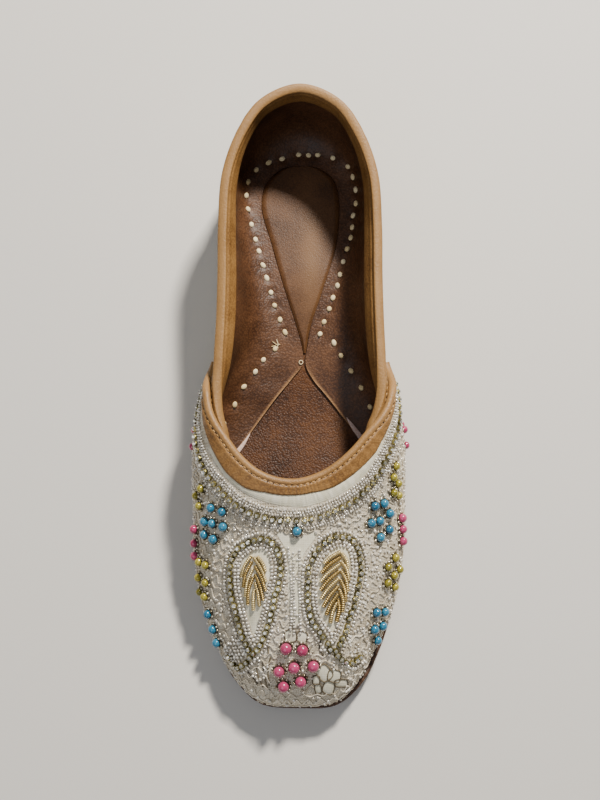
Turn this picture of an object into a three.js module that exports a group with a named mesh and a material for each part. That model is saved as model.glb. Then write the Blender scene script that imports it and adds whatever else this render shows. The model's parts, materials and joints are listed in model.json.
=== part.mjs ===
// A beaded mojari: a flat slip-on leather shoe, straight lasted, with an open U-shaped throat.
// Millimetres. The toe points along -Y, +Z is up and the floor is Z = 0.
//
// The whole upper is drawn round one ring of stations, from the back of the heel to the toe tip and
// back. At each station a cubic curve, a meridian, climbs from the seam on the sole to the collar.
// Every wall, overlay and binding is a strip laid on that one surface, at its own depth.
import * as THREE from "three";

const { clamp, smoothstep } = THREE.MathUtils;

// Driving sizes.
const GAP = 0.3; // clearance between two pieces that touch
const FOLD_GAP = 0.6; // the same between a folded strip and the edge inside it
const SOLE_THICKNESS = 4;
const SOLE_BEVEL = 0.9;
const HEEL_LIFT = 8;
const HEEL_TAPER = 1.2;
const INSOLE_THICKNESS = 2;
const UPPER_WALL = 2; // embroidered cloth, canvas and lining leather of the quarters
const VAMP_WALL = 1.4; // the beaded front cloth on its leather
const BINDING = 0.8; // folded strip of soft leather

// The sole's side view: the places along Y where its underside changes.
const HEEL_BREAST = 60;
const ARCH_FRONT = -14;
const TOE_BREAK = -86;
const TOE_TIP = -124.4;
const TOE_SPRING = 4;

// Half of the ring, a row for each station. y is the seam's place along the shoe, and right and left
// are the seam's half widths. The collar columns place the top line, and skew is how far back its
// right side stands, and how far forward its left. The low handle leads outward and upward from the
// seam, and the top handle outward and downward from the collar. The rim is how far the outsole's edge
// stands outside the seam.
const COLUMNS = [
  "y", "right", "left", "collarY", "collarRight", "collarLeft", "collarZ", "skew",
  "lowOut", "lowUp", "topOut", "topDown", "rimRight", "rimLeft",
];
const STATIONS = [
  [120, 0, 0, 123.4, 0, 0, 54.4, 0, 5, 15, 3.4, 16, 1.6, 1.6], // heel back
  [114.8, 15.6, 15.4, 117.4, 15.2, 15.2, 53.9, 0, 5, 15, 3.4, 16, 1.6, 1.6], // heel round
  [103.4, 25, 24.6, 105.2, 24.2, 24.2, 52.4, 0, 4.6, 15, 1.6, 15, 1.6, 1.6], // heel corner
  [87, 28, 27.6, 88, 30.5, 30.5, 49.8, 0, 4.6, 14, -1.8, 14, 1.6, 1.6], // heel side
  [68, 25, 24.8, 67, 32.1, 32.1, 47, 0, 6.5, 12, -3.8, 13, 1.4, 1.4], // seat front
  [49, 19.4, 17.4, 47, 32.2, 32.2, 44.9, 0, 11, 8.5, -4.4, 13, 1, 1], // waist back
  [32, 16.6, 12.8, 28, 32.6, 32.6, 43.4, 0, 14.5, 6, -4.4, 13, 0.8, 0.8], // waist
  [14, 25.4, 23.4, 11.5, 33.2, 33.4, 42.2, 0, 10.5, 6.5, -2.4, 12, 1, 1], // waist front
  [-4, 34, 34, -1, 33, 33.6, 41.4, 0.3, 7, 9, 3.4, 10, 1.6, 1.6], // wing
  [-25, 37.8, 38.2, -10.5, 30.4, 32, 40.6, 0.8, 7.5, 12, 8, 7, 2, 2], // joint back
  [-47, 38.8, 39.4, -18.8, 25.8, 28, 40, 1.3, 7, 13, 12, 5, 2.2, 2.2], // joint
  [-67, 38, 38.8, -26, 20.6, 22.9, 39.7, 1.6, 7, 13, 16, 4.5, 2.4, 2.2], // fore joint
  [-86, 34.4, 35.8, -31.4, 15, 17, 39.5, 1.6, 6, 13, 20, 4.5, 3.2, 2.2], // fore
  [-101, 28, 30.8, -34.6, 9.9, 11.3, 39.4, 1.2, 5, 14, 25, 5, 4.2, 2.2], // toe side
  [-111.4, 22.4, 24.8, -36.2, 5.6, 6.4, 39.4, 0.8, 4.5, 15, 29, 5.5, 4.2, 2.4], // toe corner
  [-120, 13.6, 15, -36.8, 2.6, 3, 39.4, 0.4, 4.5, 16, 31.5, 6, 3.4, 2.8], // toe flat
  [-121.4, 0, 0, -37, 0, 0, 39.4, 0, 4.5, 16, 32.5, 6, 3, 3], // toe tip
].map((row) => Object.fromEntries(row.map((value, k) => [COLUMNS[k], value])));
const HALF = STATIONS.length - 1; // station number of the toe tip; the ring has twice as many steps
const STEPS_PER_STATION = 3;
const LEVELS = 9; // steps up a meridian, short of the throat binding

// Where the overlays end, in station numbers counted from the heel back, and in millimetres of
// surface below the collar line.
const VAMP_REAR = 7;
const WING_DROP = 2.6; // the vamp's wings stop this far below the quarters' top line
const WING_END = 10.2;
const VAMP_FLARE = 3.1; // the vamp's throat edge stands off the quarters by this much
const VAMP_FLARE_DEPTH = 30;
const TUCK_START = 9.4; // the quarters' top line dives under the vamp from here
const TUCK_END = 11.2;
const TUCK_DEPTH = 5;
const COLLAR_BINDING_END = 11;
const COLLAR_LEGS = { outside: 4, inside: 8 };
const THROAT_LEGS = { outside: 6.5, inside: 3.5 };

// Height of the sole's underside above the floor: the heel lift, the arch, the flat forefoot and the
// toe spring.
function underside(y) {
  const arch = HEEL_LIFT * smoothstep(y, ARCH_FRONT, HEEL_BREAST);
  const spring = TOE_SPRING * (Math.max(0, TOE_BREAK - y) / (TOE_BREAK - TOE_TIP)) ** 2;
  return arch + spring;
}

const soleTop = (y) => underside(y) + SOLE_THICKNESS;

// A closed curve through one point of each station, down the right side and back up the left.
function ring(pointOf) {
  const right = STATIONS.map((station, i) => pointOf(station, 1, i));
  const left = STATIONS.map((station, i) => pointOf(station, -1, i)).slice(1, -1).reverse();
  return new THREE.CatmullRomCurve3([...right, ...left], true);
}

// Level unit vector that points out of a ring, at u from 0 to 1 round it.
function outward(curve, u) {
  const along = curve.getTangent(u);
  return new THREE.Vector3(-along.y, along.x, 0).normalize();
}

// u of a station on either side, and a place on the ring as a station number from the heel back.
const uOf = (station, side = 1) => (side > 0 ? station : 2 * HALF - station) / (2 * HALF);
const wrap = (u) => ((u % 1) + 1) % 1;
const stationAt = (u) => 2 * HALF * Math.min(wrap(u), 1 - wrap(u));

const seamRing = ring((s, side) => new THREE.Vector3(side > 0 ? s.right : -s.left, s.y, 0));
const collarRing = ring((s, side) =>
  new THREE.Vector3(side > 0 ? s.collarRight : -s.collarLeft, s.collarY + side * s.skew, s.collarZ));

function onSeam(u) {
  const point = seamRing.getPoint(wrap(u));
  point.z = soleTop(point.y) + GAP;
  return point;
}

const lowRing = ring((s, side, i) => {
  const u = uOf(i, side);
  const foot = onSeam(u).addScaledVector(outward(seamRing, wrap(u)), s.lowOut);
  foot.z += s.lowUp;
  return foot;
});

const topRing = ring((s, side, i) => {
  const u = wrap(uOf(i, side));
  const head = collarRing.getPoint(u).addScaledVector(outward(collarRing, u), s.topOut);
  head.z -= s.topDown;
  return head;
});

// The curve up the outside of the upper at u.
function meridian(u) {
  const at = wrap(u);
  return new THREE.CubicBezierCurve3(
    onSeam(at), lowRing.getPoint(at), topRing.getPoint(at), collarRing.getPoint(at),
  );
}

// Outward normal of the upper's surface at u, a share t of the way up.
function normalAt(u, t) {
  const STEP = 1e-3;
  const round = meridian(u + STEP).getPoint(t).sub(meridian(u - STEP).getPoint(t));
  const up = meridian(u).getTangent(clamp(t, STEP, 1 - STEP));
  return up.cross(round).normalize();
}

// A point depth millimetres outside the upper's surface, at u and t.
const surface = (u, t, depth) => meridian(u).getPoint(t).addScaledVector(normalAt(u, t), depth);

// The share t that lies drop millimetres of surface below the collar line.
function shareBelow(u, drop) {
  const curve = meridian(u);
  return curve.getUtoTmapping(0, Math.max(0, curve.getLength() - Math.max(0, drop)));
}

// A point by its drop below the collar line. A negative drop carries on straight past the line.
function nearCollar(u, drop, depth) {
  const point = surface(u, shareBelow(u, drop), depth);
  return drop < 0 ? point.addScaledVector(meridian(u).getTangent(1), -drop) : point;
}

// How far below the collar line the quarters and the vamp stop.
const upperDrop = (u) => TUCK_DEPTH * smoothstep(stationAt(u), TUCK_START, TUCK_END);
const vampDrop = (u) => WING_DROP * (1 - smoothstep(stationAt(u), VAMP_REAR, WING_END));

// Depth of the vamp's inner face: it stands off the quarters towards its own edge.
const vampDepth = (u, t) => GAP + VAMP_FLARE * smoothstep(t, shareBelow(u, VAMP_FLARE_DEPTH), 1);

// Outline of the outsole, seen from above.
const soleRing = ring((s, side, i) => {
  const u = wrap(uOf(i, side));
  return seamRing.getPoint(u).addScaledVector(outward(seamRing, u), side > 0 ? s.rimRight : s.rimLeft);
});

// A solid from a row of sections. Each section is a list of [front, back] point pairs across a strip.
function strip(sections, closed) {
  const pairs = sections[0].length;
  const positions = sections.flat(2).flatMap((p) => [p.x, p.y, p.z]);
  const index = [];
  const vertex = (i, k, face) => ((i % sections.length) * pairs + k) * 2 + face;
  const quad = (a, b, c, d) => index.push(a, b, c, a, c, d);
  const last = closed ? sections.length : sections.length - 1;
  for (let i = 0; i < last; i++) {
    for (let k = 0; k < pairs - 1; k++) {
      quad(vertex(i, k, 0), vertex(i + 1, k, 0), vertex(i + 1, k + 1, 0), vertex(i, k + 1, 0));
      quad(vertex(i, k, 1), vertex(i, k + 1, 1), vertex(i + 1, k + 1, 1), vertex(i + 1, k, 1));
    }
    quad(vertex(i, 0, 0), vertex(i, 0, 1), vertex(i + 1, 0, 1), vertex(i + 1, 0, 0));
    const k = pairs - 1;
    quad(vertex(i, k, 0), vertex(i + 1, k, 0), vertex(i + 1, k, 1), vertex(i, k, 1));
  }
  if (!closed) {
    for (let k = 0; k < pairs - 1; k++) {
      quad(vertex(0, k, 0), vertex(0, k + 1, 0), vertex(0, k + 1, 1), vertex(0, k, 1));
      quad(vertex(last, k, 0), vertex(last, k, 1), vertex(last, k + 1, 1), vertex(last, k + 1, 0));
    }
  }
  const geometry = new THREE.BufferGeometry();
  geometry.setAttribute("position", new THREE.Float32BufferAttribute(positions, 3));
  geometry.setIndex(volumeOf(positions, index) < 0 ? index.reverse() : index);
  geometry.computeVertexNormals();
  return geometry;
}

// Signed volume of a closed mesh, negative when its faces point inwards.
function volumeOf(positions, index) {
  const corner = (n) => new THREE.Vector3().fromArray(positions, 3 * index[n]);
  let sum = 0;
  for (let i = 0; i < index.length; i += 3) sum += corner(i).dot(corner(i + 1).cross(corner(i + 2)));
  return sum / 6;
}

// Evenly spaced numbers from a to b.
const spaced = (a, b, steps) => Array.from({ length: steps + 1 }, (_, i) => a + ((b - a) * i) / steps);

// u values round the ring between two stations on either side, through the toe or through the heel.
const throughToe = (station) =>
  spaced(uOf(station), uOf(station, -1), Math.round((HALF - station) * 2 * STEPS_PER_STATION));
const throughHeel = (station) =>
  spaced(-uOf(station), uOf(station), Math.round(station * 2 * STEPS_PER_STATION));

// Signed distance from a point to the outsole's outline in plan, positive outside, near u.
function outsideSole(point, u) {
  const away = point.clone().sub(soleRing.getPoint(wrap(u)));
  return away.dot(outward(soleRing, wrap(u)));
}

// The lowest share t where the vamp's outer face is clear of the outsole.
function vampFoot(u, top) {
  const STEP = 0.005;
  let t = 0;
  while (t < top) {
    const skin = surface(u, t, GAP + VAMP_WALL);
    if (skin.z >= soleTop(skin.y) + GAP || outsideSole(skin, u) >= GAP) return t;
    t += STEP;
  }
  return t;
}

// Shares up the meridian at u where both walls have a row of points, so that their facets match. They
// run from the vamp's foot to the end of its binding's outside leg.
function sharedLevels(u) {
  const edge = vampDrop(u);
  return spaced(vampFoot(u, shareBelow(u, edge)), shareBelow(u, edge + THROAT_LEGS.outside), LEVELS);
}

// The hollow wall of quarters and lining, open at the collar and underneath.
function upperGeometry() {
  const turns = 2 * HALF * STEPS_PER_STATION;
  const sections = spaced(0, 1, turns).slice(0, -1).map((u) => {
    const shared = sharedLevels(u).slice(1);
    const edge = upperDrop(u);
    const under = Math.min(edge + COLLAR_LEGS.outside, (edge + vampDrop(u) + THROAT_LEGS.outside) / 2);
    const rows = [0, ...shared, shareBelow(u, under), shareBelow(u, edge)];
    return rows.map((t) => [surface(u, t, 0), surface(u, t, -UPPER_WALL)]);
  });
  return strip(sections, true);
}

// The beaded front, laid over the quarters and open at the throat.
function vampGeometry() {
  const sections = throughToe(VAMP_REAR).map((u) => {
    const half = shareBelow(u, vampDrop(u) + THROAT_LEGS.outside / 2);
    const rows = [...sharedLevels(u), half, shareBelow(u, vampDrop(u))];
    return rows.map((t) => [surface(u, t, vampDepth(u, t) + VAMP_WALL), surface(u, t, vampDepth(u, t))]);
  });
  return strip(sections, false);
}

// One section of a leather strip folded over a wall's edge: down the outside, over the top and down
// the inside. edge is the wall's own drop, and outer and inner give the depths of its two faces.
function foldedSection(u, edge, legs, outer, inner) {
  const fold = (leg, face, side, rise) => {
    const drop = edge + leg;
    const depth = face(u, shareBelow(u, drop));
    const faces = [BINDING + FOLD_GAP, FOLD_GAP];
    return faces.map((off) => nearCollar(u, drop - rise * off, depth + side * off));
  };
  return [
    fold(legs.outside, outer, 1, 0),
    fold(legs.outside / 2, outer, 1, 0),
    fold(0, outer, 1, 1),
    fold(0, inner, -1, 1),
    fold(legs.inside / 2, inner, -1, 0),
    fold(legs.inside, inner, -1, 0),
  ];
}

function collarBindingGeometry() {
  const sections = throughHeel(COLLAR_BINDING_END).map((u) =>
    foldedSection(u, upperDrop(u), COLLAR_LEGS, () => 0, () => -UPPER_WALL));
  return strip(sections, false);
}

function throatBindingGeometry() {
  const sections = throughToe(VAMP_REAR).map((u) =>
    foldedSection(u, vampDrop(u), THROAT_LEGS, (v, t) => vampDepth(v, t) + VAMP_WALL, vampDepth));
  return strip(sections, false);
}

// A plate across the shoe, with a section at each u from its right edge to its left edge. insetTop and
// insetBottom move its two faces in from the outline, and bevel breaks the long edges.
function plateGeometry(outline, us, topZ, bottomZ, insetTop, insetBottom, bevel) {
  const place = (u, inset, height) => {
    const at = wrap(u);
    const point = outline.getPoint(at).addScaledVector(outward(outline, at), -inset);
    point.z = height(point.y);
    return point;
  };
  const sections = us.map((u) => {
    const pair = (side, inset, drop) => [
      place(side * u, insetTop + inset, (y) => topZ(y) - drop),
      place(side * u, insetBottom + inset, (y) => bottomZ(y) + drop),
    ];
    return bevel ? [pair(1, 0, bevel), pair(1, bevel, 0), pair(-1, bevel, 0), pair(-1, 0, bevel)]
      : [pair(1, 0, 0), pair(-1, 0, 0)];
  });
  return strip(sections, false);
}

// A plate starts and ends a little off the ring's middle line, where its two edges would meet.
const END = 0.15;
const plateStations = (from, to) =>
  spaced(from, to, Math.round((to - from) * STEPS_PER_STATION)).map((station) => uOf(station));

function outsoleGeometry() {
  return plateGeometry(soleRing, plateStations(END, HALF - END), soleTop, underside, 0, 0, SOLE_BEVEL);
}

function insoleGeometry() {
  const bottom = (y) => soleTop(y) + GAP;
  const top = (y) => bottom(y) + INSOLE_THICKNESS;
  const inset = UPPER_WALL + 2 * GAP;
  return plateGeometry(seamRing, plateStations(END, HALF - END), top, bottom, inset, inset, 0);
}

// Station number where the outsole's edge crosses a place along Y.
function stationOfEdge(y) {
  let low = 0;
  let high = HALF;
  while (high - low > 1e-4) {
    const middle = (low + high) / 2;
    if (soleRing.getPoint(uOf(middle)).y > y) low = middle;
    else high = middle;
  }
  return low;
}

function heelGeometry() {
  const stations = plateStations(END, stationOfEdge(HEEL_BREAST));
  return plateGeometry(soleRing, stations, () => HEEL_LIFT - GAP, () => 0, GAP, HEEL_TAPER, 0);
}

const PIECES = [
  { name: "outsole", geometry: outsoleGeometry(), color: 0x5a4030, roughness: 0.7 },
  { name: "heel", geometry: heelGeometry(), color: 0x4c3527, roughness: 0.65 },
  { name: "insole", geometry: insoleGeometry(), color: 0x7a4a24, roughness: 0.55 },
  { name: "upper", geometry: upperGeometry(), color: 0xd8d2c2, roughness: 0.8 },
  { name: "vamp", geometry: vampGeometry(), color: 0xcfcabb, roughness: 0.6 },
  { name: "collar_binding", geometry: collarBindingGeometry(), color: 0xa87838, roughness: 0.5 },
  { name: "throat_binding", geometry: throatBindingGeometry(), color: 0xa87838, roughness: 0.5 },
];

const shoe = new THREE.Group();
for (const { name, geometry, color, roughness } of PIECES) {
  const material = new THREE.MeshStandardMaterial({ color, roughness, metalness: 0 });
  const mesh = new THREE.Mesh(geometry, material);
  mesh.name = name;
  shoe.add(mesh);
}

// The origin is under the middle of the shoe, on the floor.
const middle = new THREE.Box3().setFromObject(shoe).getCenter(new THREE.Vector3());
shoe.position.set(-middle.x, -middle.y, 0);

export default shoe;
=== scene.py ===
# %% [markdown]
# # A beaded mojari
# A mojari is a flat slip-on leather shoe. Its front is covered with beadwork, its throat and collar are
# bound in folded leather, and the leather lining is turned in and sewn down on the insole.
# The imported model is the fixed frame: it says where each piece lies. We load it first and keep its parts.

# %% Load the imported model
import json
import math
import bpy
import bmesh
import numpy as np
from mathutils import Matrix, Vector
from mathutils.bvhtree import BVHTree

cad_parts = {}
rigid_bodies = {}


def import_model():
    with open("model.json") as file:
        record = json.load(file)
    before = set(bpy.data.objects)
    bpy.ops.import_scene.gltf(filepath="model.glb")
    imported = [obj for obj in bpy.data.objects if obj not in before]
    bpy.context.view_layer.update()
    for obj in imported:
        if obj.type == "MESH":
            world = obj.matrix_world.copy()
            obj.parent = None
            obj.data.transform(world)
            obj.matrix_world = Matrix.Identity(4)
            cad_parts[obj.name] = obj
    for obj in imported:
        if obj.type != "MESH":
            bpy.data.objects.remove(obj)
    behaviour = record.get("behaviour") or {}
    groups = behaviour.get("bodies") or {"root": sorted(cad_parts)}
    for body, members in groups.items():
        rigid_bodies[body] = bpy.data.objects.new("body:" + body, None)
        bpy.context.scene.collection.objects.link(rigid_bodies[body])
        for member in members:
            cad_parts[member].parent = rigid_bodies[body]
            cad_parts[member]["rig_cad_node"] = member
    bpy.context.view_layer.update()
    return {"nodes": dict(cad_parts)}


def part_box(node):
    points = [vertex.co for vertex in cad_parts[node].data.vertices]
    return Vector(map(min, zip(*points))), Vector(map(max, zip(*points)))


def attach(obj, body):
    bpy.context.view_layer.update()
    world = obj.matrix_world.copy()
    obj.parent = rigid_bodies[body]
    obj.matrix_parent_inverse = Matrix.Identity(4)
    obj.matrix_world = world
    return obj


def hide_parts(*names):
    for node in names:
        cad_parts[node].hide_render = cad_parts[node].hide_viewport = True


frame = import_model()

BODY = "root"
MM = 0.001
print("packed model:", sorted(frame["nodes"]))

# %% [markdown]
# ## The last
# A shoemaker starts from a last, the wooden form of the foot. We could push and pull a subdivided box
# into that shape, but then nothing could be measured on it. Instead we state it in a short table: one
# row for each station, from the back of the heel to the toe tip, in millimetres. A smooth ring runs
# through each column down the right side and back up the left, and at each place round the ring a
# cubic curve climbs from the sole seam to the collar. Every wall, strap and bead is then placed by how
# far round it is, how far below the collar, and how far off the surface.

# %% Sizes of the last
GAP = 0.3
FOLD_GAP = 0.1  # a strip pulled tight over its edge
SOLE_THICKNESS = 4.0
HEEL_LIFT = 8.0
HEEL_BREAST, ARCH_FRONT, TOE_BREAK, TOE_TIP = 60.0, -14.0, -86.0, -124.4
TOE_SPRING = 4.0
INSOLE_THICKNESS = 2.0
UPPER_WALL, VAMP_WALL, BINDING = 2.0, 1.4, 0.8
COLUMNS = (
    "y", "right", "left", "collarY", "collarRight", "collarLeft", "collarZ", "skew",
    "lowOut", "lowUp", "topOut", "topDown", "rimRight", "rimLeft",
)
STATION_ROWS = (
    (120, 0, 0, 123.4, 0, 0, 54.4, 0, 5, 15, 3.4, 16, 1.6, 1.6),  # heel back
    (114.8, 15.6, 15.4, 117.4, 15.2, 15.2, 53.9, 0, 5, 15, 3.4, 16, 1.6, 1.6),  # heel round
    (103.4, 25, 24.6, 105.2, 24.2, 24.2, 52.4, 0, 4.6, 15, 1.6, 15, 1.6, 1.6),  # heel corner
    (87, 28, 27.6, 88, 30.5, 30.5, 49.8, 0, 4.6, 14, -1.8, 14, 1.6, 1.6),  # heel side
    (68, 25, 24.8, 67, 32.1, 32.1, 47, 0, 6.5, 12, -3.8, 13, 1.4, 1.4),  # seat front
    (49, 19.4, 17.4, 47, 32.2, 32.2, 44.9, 0, 11, 8.5, -4.4, 13, 1, 1),  # waist back
    (32, 16.6, 12.8, 28, 32.6, 32.6, 43.4, 0, 14.5, 6, -4.4, 13, 0.8, 0.8),  # waist
    (14, 25.4, 23.4, 11.5, 33.2, 33.4, 42.2, 0, 10.5, 6.5, -2.4, 12, 1, 1),  # waist front
    (-4, 34, 34, -1, 33, 33.6, 41.4, 0.3, 7, 9, 3.4, 10, 1.6, 1.6),  # wing
    (-25, 37.8, 38.2, -10.5, 30.4, 32, 40.6, 0.8, 7.5, 12, 8, 7, 2, 2),  # joint back
    (-47, 38.8, 39.4, -18.8, 25.8, 28, 40, 1.3, 7, 13, 12, 5, 2.2, 2.2),  # joint
    (-67, 38, 38.8, -26, 20.6, 22.9, 39.7, 1.6, 7, 13, 16, 4.5, 2.4, 2.2),  # fore joint
    (-86, 34.4, 35.8, -31.4, 15, 17, 39.5, 1.6, 6, 13, 20, 4.5, 3.2, 2.2),  # fore
    (-101, 28, 30.8, -34.6, 9.9, 11.3, 39.4, 1.2, 5, 14, 25, 5, 4.2, 2.2),  # toe side
    (-111.4, 22.4, 24.8, -36.2, 5.6, 6.4, 39.4, 0.8, 4.5, 15, 29, 5.5, 4.2, 2.4),  # toe corner
    (-120, 13.6, 15, -36.8, 2.6, 3, 39.4, 0.4, 4.5, 16, 31.5, 6, 3.4, 2.8),  # toe flat
    (-121.4, 0, 0, -37, 0, 0, 39.4, 0, 4.5, 16, 32.5, 6, 3, 3),  # toe tip
)
STATIONS = [dict(zip(COLUMNS, row)) for row in STATION_ROWS]
HALF = len(STATIONS) - 1
print("stations on each side:", len(STATIONS))

# %% The sole's side view
def smoothstep(value, low, high):
    share = np.clip((np.asarray(value, float) - low) / (high - low), 0, 1)
    return share * share * (3 - 2 * share)


def underside(y):
    """Height of the sole's underside: heel lift, arch, flat forefoot and toe spring."""
    arch = HEEL_LIFT * smoothstep(y, ARCH_FRONT, HEEL_BREAST)
    spring = (np.maximum(0, TOE_BREAK - y) / (TOE_BREAK - TOE_TIP)) ** 2
    return arch + TOE_SPRING * spring


def sole_top(y):
    return underside(y) + SOLE_THICKNESS


def insole_top(y):
    return sole_top(y) + GAP + INSOLE_THICKNESS


print("insole height at the heel and the ball, mm:", insole_top(100.0), insole_top(-40.0))

# %% Smooth curves through points
def through(rows, closed=False):
    """A centripetal Catmull-Rom curve through the rows, as a function of 0 to 1."""
    points = np.array(rows, float)
    count = len(points)
    if not closed:
        first = 2 * points[0] - points[1]
        last = 2 * points[-1] - points[-2]
        padded = np.vstack([first, points, last])

    def at(share):
        share = np.asarray(share, float)
        if closed:
            place = (share % 1) * count
            start = np.floor(place).astype(int)
            four = [points[(start + k) % count] for k in (-1, 0, 1, 2)]
        else:
            place = np.clip(share, 0, 1) * (count - 1)
            start = np.minimum(np.floor(place).astype(int), count - 2)
            four = [padded[start + k] for k in (0, 1, 2, 3)]
        w = (place - start)[..., None]
        a, b, c, d = four
        ab, bc, cd = (np.linalg.norm(q - p, axis=-1, keepdims=True) ** 0.5 + 1e-9
                      for p, q in ((a, b), (b, c), (c, d)))
        leave = ((b - a) / ab - (c - a) / (ab + bc) + (c - b) / bc) * bc
        arrive = ((c - b) / bc - (d - b) / (bc + cd) + (d - c) / cd) * bc
        chord = c - b
        square = 3 * chord - 2 * leave - arrive
        cube = leave + arrive - 2 * chord
        return b + leave * w + square * w**2 + cube * w**3

    return at


print("middle of a test line:", through([(0, 0), (1, 0), (2, 1)])(0.5).round(3))

# %% Places round the ring
# u runs from 0 to 1 round the shoe, from the heel's back down the right side and back up the left.
def u_of(station, side=1):
    station = np.asarray(station, float)
    return np.where(np.asarray(side) > 0, station, 2 * HALF - station) / (2 * HALF) % 1


def station_at(u):
    wrapped = np.asarray(u) % 1
    return 2 * HALF * np.minimum(wrapped, 1 - wrapped)


def both_sides(point_of):
    """A ring through a point of each station, down the right side and back up the left."""
    right = [point_of(s, 1, i) for i, s in enumerate(STATIONS)]
    left = [point_of(s, -1, i) for i, s in enumerate(STATIONS)]
    return through(right + left[1:-1][::-1], closed=True)


def outward(curve, u):
    """Level unit vector that points out of a ring."""
    step = 1e-4
    along = curve(np.asarray(u) + step) - curve(np.asarray(u) - step)
    out = np.stack([-along[..., 1], along[..., 0], 0 * along[..., 0]], -1)
    return out / np.linalg.norm(out, axis=-1, keepdims=True)


# %% The seam, the collar and the handles between them
UP = np.array([0, 0, 1.0])
seam = both_sides(lambda s, side, i: (s["right"] if side > 0 else -s["left"], s["y"], 0))
collar = both_sides(lambda s, side, i: (
    s["collarRight"] if side > 0 else -s["collarLeft"], s["collarY"] + side * s["skew"], s["collarZ"]))


def on_seam(u):
    point = seam(u).copy()
    point[..., 2] = sole_top(point[..., 1]) + GAP
    return point


def low_handle(s, side, i):
    u = u_of(i, side)
    return on_seam(u) + outward(seam, u) * s["lowOut"] + UP * s["lowUp"]


def top_handle(s, side, i):
    u = u_of(i, side)
    return collar(u) + outward(collar, u) * s["topOut"] - UP * s["topDown"]


def sole_rim(s, side, i):
    u = u_of(i, side)
    return seam(u) + outward(seam, u) * s["rimRight" if side > 0 else "rimLeft"]


low_ring = both_sides(low_handle)
top_ring = both_sides(top_handle)
sole_ring = both_sides(sole_rim)
print("collar at the heel back, mm:", collar(0.0).round(1))

# %% The surface of the last
def skin(u, t):
    """Points a share t of the way up from the seam to the collar."""
    u, t = np.broadcast_arrays(np.asarray(u, float), np.asarray(t, float))
    t = t[..., None]
    foot, low, top, head = on_seam(u), low_ring(u), top_ring(u), collar(u)
    return (1 - t) ** 3 * foot + 3 * (1 - t) ** 2 * t * low + 3 * (1 - t) * t**2 * top + t**3 * head


def climb(u, t):
    """Direction up the surface."""
    u, t = np.broadcast_arrays(np.asarray(u, float), np.asarray(t, float))
    t = t[..., None]
    foot, low, top, head = on_seam(u), low_ring(u), top_ring(u), collar(u)
    rise = (1 - t) ** 2 * (low - foot) + 2 * (1 - t) * t * (top - low) + t**2 * (head - top)
    return rise / np.linalg.norm(rise, axis=-1, keepdims=True)


def normal(u, t):
    step = 1e-3
    across = skin(np.asarray(u) + step, t) - skin(np.asarray(u) - step, t)
    out = np.cross(climb(u, np.clip(t, step, 1 - step)), across)
    return out / np.linalg.norm(out, axis=-1, keepdims=True)


def surface(u, t, depth):
    return skin(u, t) + normal(u, t) * np.asarray(depth)[..., None]


# %% Distances below the collar
RING_STEPS, CLIMB_STEPS = 640, 160
grid = skin(np.arange(RING_STEPS + 1)[:, None] / RING_STEPS, np.linspace(0, 1, CLIMB_STEPS + 1)[None])
pace = np.linalg.norm(np.diff(grid, axis=1), axis=2)
CLIMBED = np.concatenate([np.zeros((RING_STEPS + 1, 1)), np.cumsum(pace, axis=1)], axis=1)


# %% Shares and drops
def climbed_at(u):
    place = (np.asarray(u, float).ravel() % 1) * RING_STEPS
    start = np.floor(place).astype(int)
    w = (place - start)[:, None]
    return CLIMBED[start] * (1 - w) + CLIMBED[start + 1] * w


def share_below(u, drop):
    """The share t that lies drop millimetres of surface below the collar line."""
    u, drop = np.broadcast_arrays(np.asarray(u, float), np.asarray(drop, float))
    line = climbed_at(u)
    target = np.clip(line[:, -1] - np.maximum(0, drop.ravel()), 0, None)
    step = np.clip((line <= target[:, None]).sum(1) - 1, 0, CLIMB_STEPS - 1)
    rows = np.arange(len(step))
    here, there = line[rows, step], line[rows, step + 1]
    return ((step + (target - here) / (there - here)) / CLIMB_STEPS).reshape(u.shape)


def drop_at(u, t):
    """Millimetres of surface between a share t and the collar line."""
    u, t = np.broadcast_arrays(np.asarray(u, float), np.asarray(t, float))
    line = climbed_at(u)
    place = np.clip(t.ravel(), 0, 1) * CLIMB_STEPS
    step = np.minimum(np.floor(place).astype(int), CLIMB_STEPS - 1)
    rows = np.arange(len(step))
    here = line[rows, step]
    drop = line[:, -1] - here - (line[rows, step + 1] - here) * (place - step)
    return drop.reshape(u.shape)


def cut_pattern(u, t):
    """Where a point lies on the flat hide or cloth before it is lasted: straight out from the collar."""
    return (collar(u) + outward(collar, u) * drop_at(u, t)[..., None])[..., :2]


def near_collar(u, drop, depth):
    """A point by its drop below the collar line. A negative drop carries on straight past the line."""
    u, drop, depth = np.broadcast_arrays(u, drop, depth)
    point = surface(u, share_below(u, drop), depth)
    return point + climb(u, np.ones_like(u)) * np.maximum(0, -drop)[..., None]


print("length of the front, mm:", drop_at(0.5, 0.0).round(1))

# %% [markdown]
# ## From the last to the frame
# The last was drawn about its own middle line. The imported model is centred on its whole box, so we
# compare the sole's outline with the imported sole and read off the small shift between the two.

# %% Shift to the frame
low_corner, high_corner = (np.array(corner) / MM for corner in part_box("outsole"))
outline = sole_ring(np.linspace(0, 1, 961))
SHIFT = (low_corner + high_corner) / 2 - (outline.min(0) + outline.max(0)) / 2
SHIFT[2] = 0
print("shift, mm:", SHIFT.round(2))


def placed(points):
    """Design millimetres to frame metres."""
    return (np.asarray(points, float) + SHIFT) * MM


# %% [markdown]
# ## Making a piece
# Leather and cloth pieces are all strips with a thickness. The easy way would be a Solidify modifier,
# but a folded binding needs its own cross section, so each strip is lofted: a list of closed profiles,
# joined one to the next. One function makes the mesh, another the faces of the loft.

# %% Mesh and loft
SHARP_ANGLE = math.radians(40)  # edges that turn more than this stay crisp


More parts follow.
